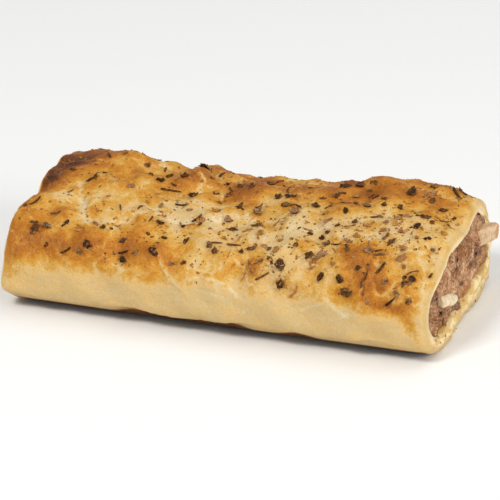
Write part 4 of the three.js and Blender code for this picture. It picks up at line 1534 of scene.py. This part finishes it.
@dataclass
class Herbs:
    """The dried herbs: the flakes that the solid has, and the finer ones strewn between them."""

    skin: Skin
    strewn_count: int = 74
    strewn_from: float = -36
    strewn_to: float = 37
    leaf_growth: tuple[float, float] = (1.15, 1.35)  # of a placed leaf's length and width
    leaf_lift: float = 0.2
    stalk_lift: float = 0.16

    def placed(self) -> list[Flake]:
        """Lists the flakes that the solid has, at the same places, and the smaller ones between them."""
        flakes = [
            Flake(kind, tone, *row)
            for kind, table in PLACED_HERBS
            for tone, rows in table.items()
            for row in rows
        ]
        form = self.skin.form
        tones = (Tone.BURNT, Tone.DARK, Tone.BROWN, Tone.DARK, Tone.ORANGE, Tone.GREY, Tone.BURNT)
        for i in range(self.strewn_count):
            x = (spread(i, 0) - 0.5) * (form.length - 2 * form.end_run)
            around = self.strewn_from + (self.strewn_to - self.strewn_from) * spread(i, 1)
            if spread(i, 3) > 0.45 + 0.55 * (x / form.length + 0.5):
                continue
            tone = tones[i % len(tones)]
            turn = 360 * spread(i, 4)
            if i % 3 == 0:
                length = 2.6 + 1.6 * spread(i, 2)
                flakes.append(Flake(HerbKind.STALK, tone, x, around, length, 1.0, turn))
            else:
                length = 1.7 + 1.1 * spread(i, 2)
                flakes.append(Flake(HerbKind.LEAF, tone, x, around, length, 0.7 * length, turn))
        return flakes

    def leaf(
        self, length: float, width: float, rng: np.random.Generator, sectors: int, rings: int
    ) -> tuple[np.ndarray, np.ndarray]:
        """Makes a curled, ragged and crumpled leaf flake.

        Args:
            length: How long it is.
            width: How wide it is.
            rng: Gives it its own outline and curl.
            sectors: How many points its outline has.
            rings: How many rows of points lie between its middle and its outline.

        Returns:
            Its points, with its middle at the origin and Z out of its plane, and its triangles.
        """
        angle = 2 * math.pi * (np.arange(sectors) + 0.7 * rng.random(sectors)) / sectors
        ragged = rng.uniform(0.5, 1.2, sectors)
        ragged = 0.76 * ragged + 0.12 * (np.roll(ragged, 1) + np.roll(ragged, -1))
        lopsided = 1 + 0.25 * np.cos(angle - rng.uniform(0, 6))
        curl, twist, fold = rng.uniform(-0.3, 0.9), rng.uniform(-0.5, 0.5), rng.uniform(-0.6, 0.7)
        rows = [np.zeros((1, 2))]
        for ring in range(1, rings + 1):
            share = ring / rings
            reach = share * (1 + (ragged * lopsided - 1) * share)
            rows.append(np.stack([np.cos(angle) * reach, np.sin(angle) * reach], -1))
        flat = np.concatenate(rows)
        bulk = np.abs(flat[:, 1]) * fold + curl * flat[:, 0] ** 2 * 0.5 + twist * flat[:, 0] * flat[:, 1]
        bulk = bulk + 0.24 * rng.standard_normal(len(flat))
        top = np.column_stack([flat[:, 0] * length / 2, flat[:, 1] * width / 2, bulk * width / 2])
        top[:, :2] += 0.05 * rng.standard_normal((len(flat), 2))
        thick = 0.1 + 0.08 * rng.random()
        under = top - (0, 0, thick)
        faces = []
        for ring in range(rings):
            for i in range(sectors):
                k = (i + 1) % sectors
                if ring == 0:
                    faces.append((0, 1 + i, 1 + k))
                else:
                    a, b = 1 + (ring - 1) * sectors, 1 + ring * sectors
                    faces += [(a + i, b + i, b + k), (a + i, b + k, a + k)]
        count = len(flat)
        triangles = faces + [(c + count, b + count, a + count) for a, b, c in faces]
        last = 1 + (rings - 1) * sectors
        for i in range(sectors):
            a, b = last + i, last + (i + 1) % sectors
            triangles += [(a, a + count, b + count), (a, b + count, b)]
        return np.concatenate([top, under]), np.array(triangles)

    def stalk(
        self, length: float, thickness: float, rng: np.random.Generator, sides: int, segments: int
    ) -> tuple[np.ndarray, np.ndarray]:
        """Makes a bent, grooved and tapered stalk.

        Args:
            length: How long it is.
            thickness: Its thickness as a share of the usual one.
            rng: Gives it its own bends.
            sides: How many sides its section has.
            segments: How many stretches it has.

        Returns:
            Its points, with its middle at the origin and its length along X, and its triangles.
        """
        radius = 0.3 * thickness
        rows = []
        bend_y, bend_z = rng.uniform(-0.12, 0.12), rng.uniform(-0.04, 0.1)
        for k in range(segments + 1):
            share = 2 * k / segments - 1
            tip = 0.55 if abs(share) == 1 else 1
            reach = radius * (1 - 0.25 * share) * (0.8 + 0.4 * rng.random()) * tip
            angle = 2 * math.pi * np.arange(sides) / sides
            ring = np.stack(
                [np.full(sides, share * length / 2), np.cos(angle) * reach, np.sin(angle) * reach * 0.8], -1
            )
            ring += (0, bend_y * length * (1 - share**2), bend_z * length * share**2)
            rows.append(ring)
        points = np.concatenate(rows + [rows[0].mean(0)[None], rows[-1].mean(0)[None]])
        faces = []
        for quad in grid_faces(segments + 1, sides, wrap_columns=True)[:, ::-1]:
            faces += [(quad[0], quad[1], quad[2]), (quad[0], quad[2], quad[3])]
        low, high, last = len(points) - 2, len(points) - 1, segments * sides
        for i in range(sides):
            k = (i + 1) % sides
            faces += [(low, k, i), (high, last + i, last + k)]
        return points, np.array(faces)

    def build_in_meat(self, filling: Filling, finish: Material) -> Object:
        """Makes the flakes that show in the two cut faces."""
        rng = np.random.default_rng(17)
        points, faces, tone = [], [], []
        for side in (-1, 1):
            for y, z, length, turn in HERBS_IN_MEAT:
                body, triangles = self.leaf(length, 0.55 * length, rng, 8, 2)
                a = math.radians(turn)
                first, out = np.array([0, math.cos(a), math.sin(a)]), np.array([side, 0, 0])
                place = np.array([filling.face_at(side * y, z, side), side * y, z])
                faces.append(triangles + sum(len(p) for p in points))
                points.append(place + body @ np.stack([first, np.cross(out, first), out]) + out * 0.25)
                tone.append(np.full(len(body), rng.choice((0.05, 0.2, 0.4))))
        moved = np.concatenate(points) + (self.skin.form.shift_x, 0, 0)
        obj = make_object("herbs_in_meat", moved, np.concatenate(faces), finish)
        set_attribute(obj, "tone", np.concatenate(tone))
        return obj

    def build_placed(self, flakes: list[Flake], finish: Material) -> list[Object]:
        """Makes the placed leaves and stalks, one piece for each kind."""
        rng = np.random.default_rng(41)
        pieces = []
        for kind in HerbKind:
            points, faces, tone = [], [], []
            for flake in (f for f in flakes if f.kind is kind):
                if kind is HerbKind.LEAF:
                    size = self.leaf_growth[0] * flake.length, self.leaf_growth[1] * flake.width
                    body, triangles = self.leaf(*size, rng, int(rng.integers(9, 15)), 4)
                    lift, painted_rim_highlight = self.leaf_lift, 0.16 * rng.random()
                else:
                    body, triangles = self.stalk(flake.length, flake.width, rng, 7, 7)
                    lift, painted_rim_highlight = self.stalk_lift, 0.0
                place, length, across, out = self.skin.seat(flake.x, flake.around)
                turn = math.radians(flake.turn)
                first = length * math.cos(turn) + across * math.sin(turn)
                second = np.cross(out, first)
                start = sum(len(p) for p in points)
                points.append(place + body @ np.stack([first, second, out]) + out * lift)
                faces.append(triangles + start)
                to_rim = np.hypot(body[:, 0] / flake.length, body[:, 1] / flake.width) * 2
                mottled = 0.05 * rng.standard_normal() + 0.11 * rng.standard_normal(len(body))
                # Paler towards the rim of some leaves: a painted highlight on their curled edges.
                tone.append(flake.tone.value + mottled + painted_rim_highlight * smooth((to_rim - 0.6) / 0.5))
            moved = np.concatenate(points) + (self.skin.form.shift_x, 0, 0)
            obj = make_object(f"herb_{kind.value}_flakes", moved, np.concatenate(faces), finish)
            set_attribute(obj, "tone", np.concatenate(tone))
            pieces.append(obj)
        return pieces


@dataclass
class Crumbs:
    """The crumbs of pastry that cling to the cut faces, most of them low on their rims."""

    filling: Filling
    count: int = 110
    size: tuple[float, float] = (0.35, 1.3)
    low_share: float = 0.8  # of them that lie on the lower half of the rims
    large_share: float = 0.3

    def build(self) -> Object:
        """Makes the crumbs of both cuts as one piece."""
        rng = np.random.default_rng(23)
        form = self.filling.form
        ball, triangles = icosphere()
        points, faces, tone = [], [], []
        for i in range(self.count):
            side = 1 if i % 2 else -1
            highest = 0.35 if rng.random() < self.low_share else math.pi
            turn = rng.uniform(-math.pi, highest)
            at = form.section(
                np.array([side * form.length / 2]), np.array([turn]), np.array([rng.uniform(0.35, 1.3)])
            )[0]
            reach = rng.uniform(*self.size) / 2 * (1 if rng.random() < self.large_share else 0.6)
            body = ball * reach * rng.uniform(0.6, 1.2, (len(ball), 1)) * rng.uniform(0.6, 1.1, 3)
            faces.append(triangles + i * len(ball))
            proud = rng.uniform(-0.1, 0.2) + (0.9 if at[2] < 3 else 0)
            points.append(at + (side * proud + form.shift_x, 0, 0) + body)
            tone.append(np.full(len(ball), rng.random()))
        obj = make_object("pastry_crumbs", np.concatenate(points), np.concatenate(faces), Crumb().build())
        set_attribute(obj, "tone", np.concatenate(tone))
        return obj


@dataclass(frozen=True)
class Strewing:
    """How one kind of fine herb is strewn: its shapes, how many to a square metre and how large."""

    name: str
    density: float
    apart: float  # the least distance between two, in millimetres
    scale: tuple[float, float]
    lift: float
    tone: tuple[float, float]
    seed: int


class StrewingTree:
    """The Geometry Nodes that strew small shapes over the pastry."""

    def __init__(self) -> None:
        """Builds the tree, with a named input for each size."""
        tree = bpy.data.node_groups.new("strew_herbs", "GeometryNodeTree")
        face = tree.interface
        face.new_socket("Geometry", in_out="OUTPUT", socket_type="NodeSocketGeometry")
        kinds = {
            "Geometry": "NodeSocketGeometry", "Shapes": "NodeSocketCollection", "Density": "NodeSocketFloat",
            "Apart": "NodeSocketFloat", "Least Scale": "NodeSocketFloat", "Most Scale": "NodeSocketFloat",
            "Lift": "NodeSocketFloat", "Least Tone": "NodeSocketFloat", "Most Tone": "NodeSocketFloat",
            "Seed": "NodeSocketInt", "Finish": "NodeSocketMaterial",
        }
        for name, kind in kinds.items():
            face.new_socket(name, in_out="INPUT", socket_type=kind)
        self.tree = tree
        given = add_node(tree, "NodeGroupInput").outputs
        where = add_node(tree, "GeometryNodeInputNamedAttribute", {"data_type": "FLOAT"}, {"Name": "strewn"})
        inputs = {
            "Mesh": given["Geometry"], "Distance Min": given["Apart"], "Density Max": given["Density"],
            "Density Factor": socket(where.outputs, "Attribute"), "Seed": given["Seed"],
        }
        points = add_node(
            tree, "GeometryNodeDistributePointsOnFaces", {"distribute_method": "POISSON"}, inputs
        )
        lifted = add_node(
            tree, "ShaderNodeVectorMath", {"operation": "SCALE"},
            {0: points.outputs["Normal"], "Scale": given["Lift"]},
        )
        moved = add_node(
            tree, "GeometryNodeSetPosition",
            inputs={"Geometry": points.outputs["Points"], "Offset": lifted.outputs[0]},
        )
        tone = self.random({"Min": given["Least Tone"], "Max": given["Most Tone"], "Seed": given["Seed"]})
        named = add_node(
            tree, "GeometryNodeStoreNamedAttribute", {"data_type": "FLOAT", "domain": "POINT"},
            {"Geometry": moved.outputs[0], "Name": "tone", "Value": tone},
        )
        shapes = add_node(
            tree, "GeometryNodeCollectionInfo",
            inputs={"Collection": given["Shapes"], "Separate Children": True, "Reset Children": True},
        )
        spin = self.random({"Min": 0.0, "Max": 2 * math.pi, "Seed": 5})
        about = add_node(tree, "FunctionNodeAxisAngleToRotation", inputs={"Axis": (0, 0, 1), "Angle": spin})
        turned = add_node(
            tree, "FunctionNodeRotateRotation", {"rotation_space": "LOCAL"},
            {"Rotation": points.outputs["Rotation"], "Rotate By": about.outputs[0]},
        )
        scale = self.random({"Min": given["Least Scale"], "Max": given["Most Scale"], "Seed": 8})
        inputs = {
            "Points": named.outputs[0], "Instance": shapes.outputs[0], "Pick Instance": True,
            "Instance Index": self.pick(), "Rotation": turned.outputs[0], "Scale": scale,
        }
        laid = add_node(tree, "GeometryNodeInstanceOnPoints", inputs=inputs)
        real = add_node(tree, "GeometryNodeRealizeInstances", inputs={"Geometry": laid.outputs[0]})
        dressed = add_node(
            tree, "GeometryNodeSetMaterial",
            inputs={"Geometry": real.outputs[0], "Material": given["Finish"]},
        )
        add_node(tree, "NodeGroupOutput", inputs={"Geometry": dressed.outputs[0]})

    def random(self, inputs: dict) -> NodeSocket:
        """Draws a fixed random number for each point."""
        node = add_node(self.tree, "FunctionNodeRandomValue", {"data_type": "FLOAT"}, inputs)
        return socket(node.outputs, "Value")

    def pick(self) -> NodeSocket:
        """Draws the number of the shape that each point gets."""
        many = 1000  # far more than there are shapes, because the number wraps round them
        inputs = {"Min": 0, "Max": many, "Seed": 3}
        node = add_node(self.tree, "FunctionNodeRandomValue", {"data_type": "INT"}, inputs)
        return socket(node.outputs, "Value")

    def strew(
        self, ground: Object, shapes: list[Object], how: Strewing,
        finish: Material,
    ) -> Object:
        """Strews shapes over a mesh and makes the result a plain mesh.

        Args:
            ground: The object that they fall on.
            shapes: The shapes to pick from.
            how: How they are strewn.
            finish: Their material.

        Returns:
            One object that holds them all.
        """
        collection = bpy.data.collections.new(how.name + "_shapes")
        for shape in shapes:
            bpy.context.scene.collection.objects.unlink(shape)
            collection.objects.link(shape)
        carrier = bpy.data.objects.new(how.name + "_carrier", ground.data.copy())
        bpy.context.scene.collection.objects.link(carrier)
        modifier = carrier.modifiers.new("strew", "NODES")
        modifier.node_group = self.tree
        values = {
            "Shapes": collection, "Density": how.density, "Apart": how.apart * MM, "Lift": how.lift * MM,
            "Least Scale": how.scale[0], "Most Scale": how.scale[1], "Least Tone": how.tone[0],
            "Most Tone": how.tone[1], "Seed": how.seed, "Finish": finish,
        }
        for item in self.tree.interface.items_tree:
            if item.in_out == "INPUT" and item.name in values:
                modifier[item.identifier] = values[item.name]
        bpy.context.view_layer.update()
        graph = bpy.context.evaluated_depsgraph_get()
        mesh = bpy.data.meshes.new_from_object(carrier.evaluated_get(graph))
        carrier.modifiers.remove(modifier)
        bpy.data.objects.remove(carrier)
        for shape in shapes:
            bpy.data.objects.remove(shape)
        bpy.data.collections.remove(collection)
        obj = bpy.data.objects.new(how.name, mesh)
        bpy.context.scene.collection.objects.link(obj)
        return obj


@dataclass
class FineHerbs:
    """The fine herbs: small leaf flakes, needles and specks, each kind strewn as one piece."""

    herbs: Herbs
    variants: int = 6
    kinds: tuple[Strewing, ...] = (
        Strewing("fine_leaves", 38000, 1.3, (0.45, 1.05), 0.1, (0.0, 0.95), 4),
        Strewing("fine_stalks", 21000, 1.8, (0.4, 1.0), 0.08, (0.0, 0.9), 6),
        Strewing("herb_specks", 170000, 0.6, (0.3, 0.95), 0.01, (0.05, 0.7), 9),
        Strewing("toasted_specks", 300000, 0.6, (0.3, 1.2), 0.0, (0.78, 0.95), 12),
    )

    def shapes(self, name: str, finish: Material) -> list[Object]:
        """Makes the few shapes that one kind is picked from."""
        rng = np.random.default_rng(len(name))
        made = []
        for i in range(self.variants):
            if name == "fine_leaves":
                points, faces = self.herbs.leaf(1.7 + 0.5 * rng.random(), 1.0 + 0.5 * rng.random(), rng, 8, 2)
            elif name == "fine_stalks":
                points, faces = self.herbs.stalk(2.4 + rng.random(), 0.5 + 0.3 * rng.random(), rng, 5, 3)
            else:
                points, faces = self.herbs.leaf(1.1, 0.6 + 0.4 * rng.random(), rng, 6, 1)
            made.append(make_object(f"{name}_{i}", points, faces, finish))
        return made

    def build(self, ground: Object, finish: Material) -> list[Object]:
        """Strews each kind over the pastry."""
        tree = StrewingTree()
        return [tree.strew(ground, self.shapes(how.name, finish), how, finish) for how in self.kinds]


# ---- stage


@dataclass
class Stage:
    """The plain pale floor, the soft studio light and the camera."""

    azimuth: float = 18.377
    elevation: float = 23.399
    distance: float = 1000.0
    target_height: float = 15.0
    focal_pixels: float = 3530.18
    pixels: float = 500.0
    target_pixel: tuple[float, float] = (249.58, 244.6)
    sensor: float = 36.0
    far: float = 20000.0  # where the camera's view ends
    floor_reach: float = 4000.0
    floor_colour: str = "#F4F4F2"
    sky_colour: str = "#FFFFFF"
    sky_strength: float = 0.36

    def camera(self, form: RollForm) -> None:
        """Puts the camera where it looks down on the roll from its front right."""
        data = bpy.data.cameras.new("camera")
        data.sensor_width = self.sensor
        data.lens = self.focal_pixels * self.sensor / self.pixels
        data.shift_x = (self.pixels / 2 - self.target_pixel[0]) / self.pixels
        data.shift_y = (self.target_pixel[1] - self.pixels / 2) / self.pixels
        data.clip_end = self.far * MM
        camera = bpy.data.objects.new("camera", data)
        azimuth, elevation = math.radians(self.azimuth), math.radians(self.elevation)
        level = math.cos(elevation)
        back = Vector((math.sin(azimuth) * level, -math.cos(azimuth) * level, math.sin(elevation)))
        target = Vector((form.shift_x, 0, self.target_height)) * MM
        camera.location = target + back * self.distance * MM
        camera.rotation_euler = back.to_track_quat("Z", "Y").to_euler()
        bpy.context.scene.collection.objects.link(camera)
        bpy.context.scene.camera = camera

    def light(self, name: str, place: tuple[float, float, float], size: float, power: float) -> None:
        """Hangs a square soft light that looks at the roll.

        Args:
            name: The light's name.
            place: Where it hangs, in metres.
            size: How wide it is, in metres.
            power: How strong it is, in watts.
        """
        data = bpy.data.lights.new(name, "AREA")
        data.size = size
        data.energy = power
        light = bpy.data.objects.new(name, data)
        light.location = place
        light.rotation_euler = Vector(place).to_track_quat("Z", "Y").to_euler()
        bpy.context.scene.collection.objects.link(light)

    def build(self, form: RollForm) -> None:
        """Makes the floor, the lights, the sky and the camera."""
        material, tree, shader = new_material("floor_paper")
        feed(tree, shader, {"Base Color": linear(self.floor_colour), "Roughness": 0.9})
        corners = self.floor_reach * np.array([(-1, -1, 0), (1, -1, 0), (1, 1, 0), (-1, 1, 0)])
        make_object("floor", corners, np.array([[0, 1, 2, 3]]), material)
        self.light("key_light", (-0.35, -0.75, 0.95), 0.3, 7.6)
        self.light("top_light", (0.25, 0.4, 1.1), 0.8, 3.4)
        self.light("side_light", (1.0, -0.35, 0.5), 0.6, 6.4)
        world = bpy.data.worlds.new("studio")
        bpy.context.scene.world = world
        world.use_nodes = True
        sky = world.node_tree.nodes["Background"]
        feed(world.node_tree, sky, {"Color": linear(self.sky_colour), "Strength": self.sky_strength})
        bpy.context.scene.view_settings.view_transform = "Standard"
        self.camera(form)


# ---- making


def install(obj: Object, stands_for: str | None = None) -> None:
    """Lets a finished piece ride on the roll's body, and reports it.

    Args:
        obj: The piece.
        stands_for: The solid that it replaces, if it does.
    """
    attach(obj, BODY)
    if stands_for:
        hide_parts(stands_for)
    LOG.info("%s: %d faces", obj.name, len(obj.data.polygons))


def main() -> None:
    """Builds the roll's pieces in order, and the stage they stand on."""
    logging.basicConfig(level=logging.INFO, format="%(name)s: %(message)s")
    form = RollForm()
    skin = Skin(form)
    Stage().build(form)
    herbs = Herbs(skin)
    flakes = herbs.placed()
    herb_finish = DriedHerb().build()
    pastry = Pastry(skin).build(BakedPastry().build(), flakes)
    install(pastry, "pastry")
    filling = Filling(form)
    install(filling.build(CookedMince().build()), "filling")
    onion = SoftChunk("cooked_onion", "#E2C6A2", "#C49A6C", "#C08434", 0.25).build()
    onion_slice = Chunk("onion_slice", (2.6, 8.6, 5.0), (62.7, 23.0, 17.6), (3, 0, -40), 11.0, 0.35)
    install(onion_slice.build(form, onion))
    fat = SoftChunk("cooked_fat", "#EEDDBC", "#D4B68A", "#B5824A", 0.2).build()
    fat_lump = Chunk("fat_lump", (3.6, 12.6, 3.3), (61.8, -14.0, 12.7), (-19, 0, -7), 3.6, 0.4)
    install(fat_lump.build(form, fat))
    left_lump = Chunk("fat_lump_left", (3.0, 6.0, 3.6), (-61.9, 10.0, 17.0), (25, 0, 8), 3.0, 0.7)
    install(left_lump.build(form, fat))
    install(herbs.build_in_meat(filling, herb_finish))
    install(Crumbs(filling).build())
    for piece in herbs.build_placed(flakes, herb_finish):
        install(piece)
    for piece in FineHerbs(herbs).build(pastry, herb_finish):
        install(piece)


if __name__ == "__main__":
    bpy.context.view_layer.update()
    main()
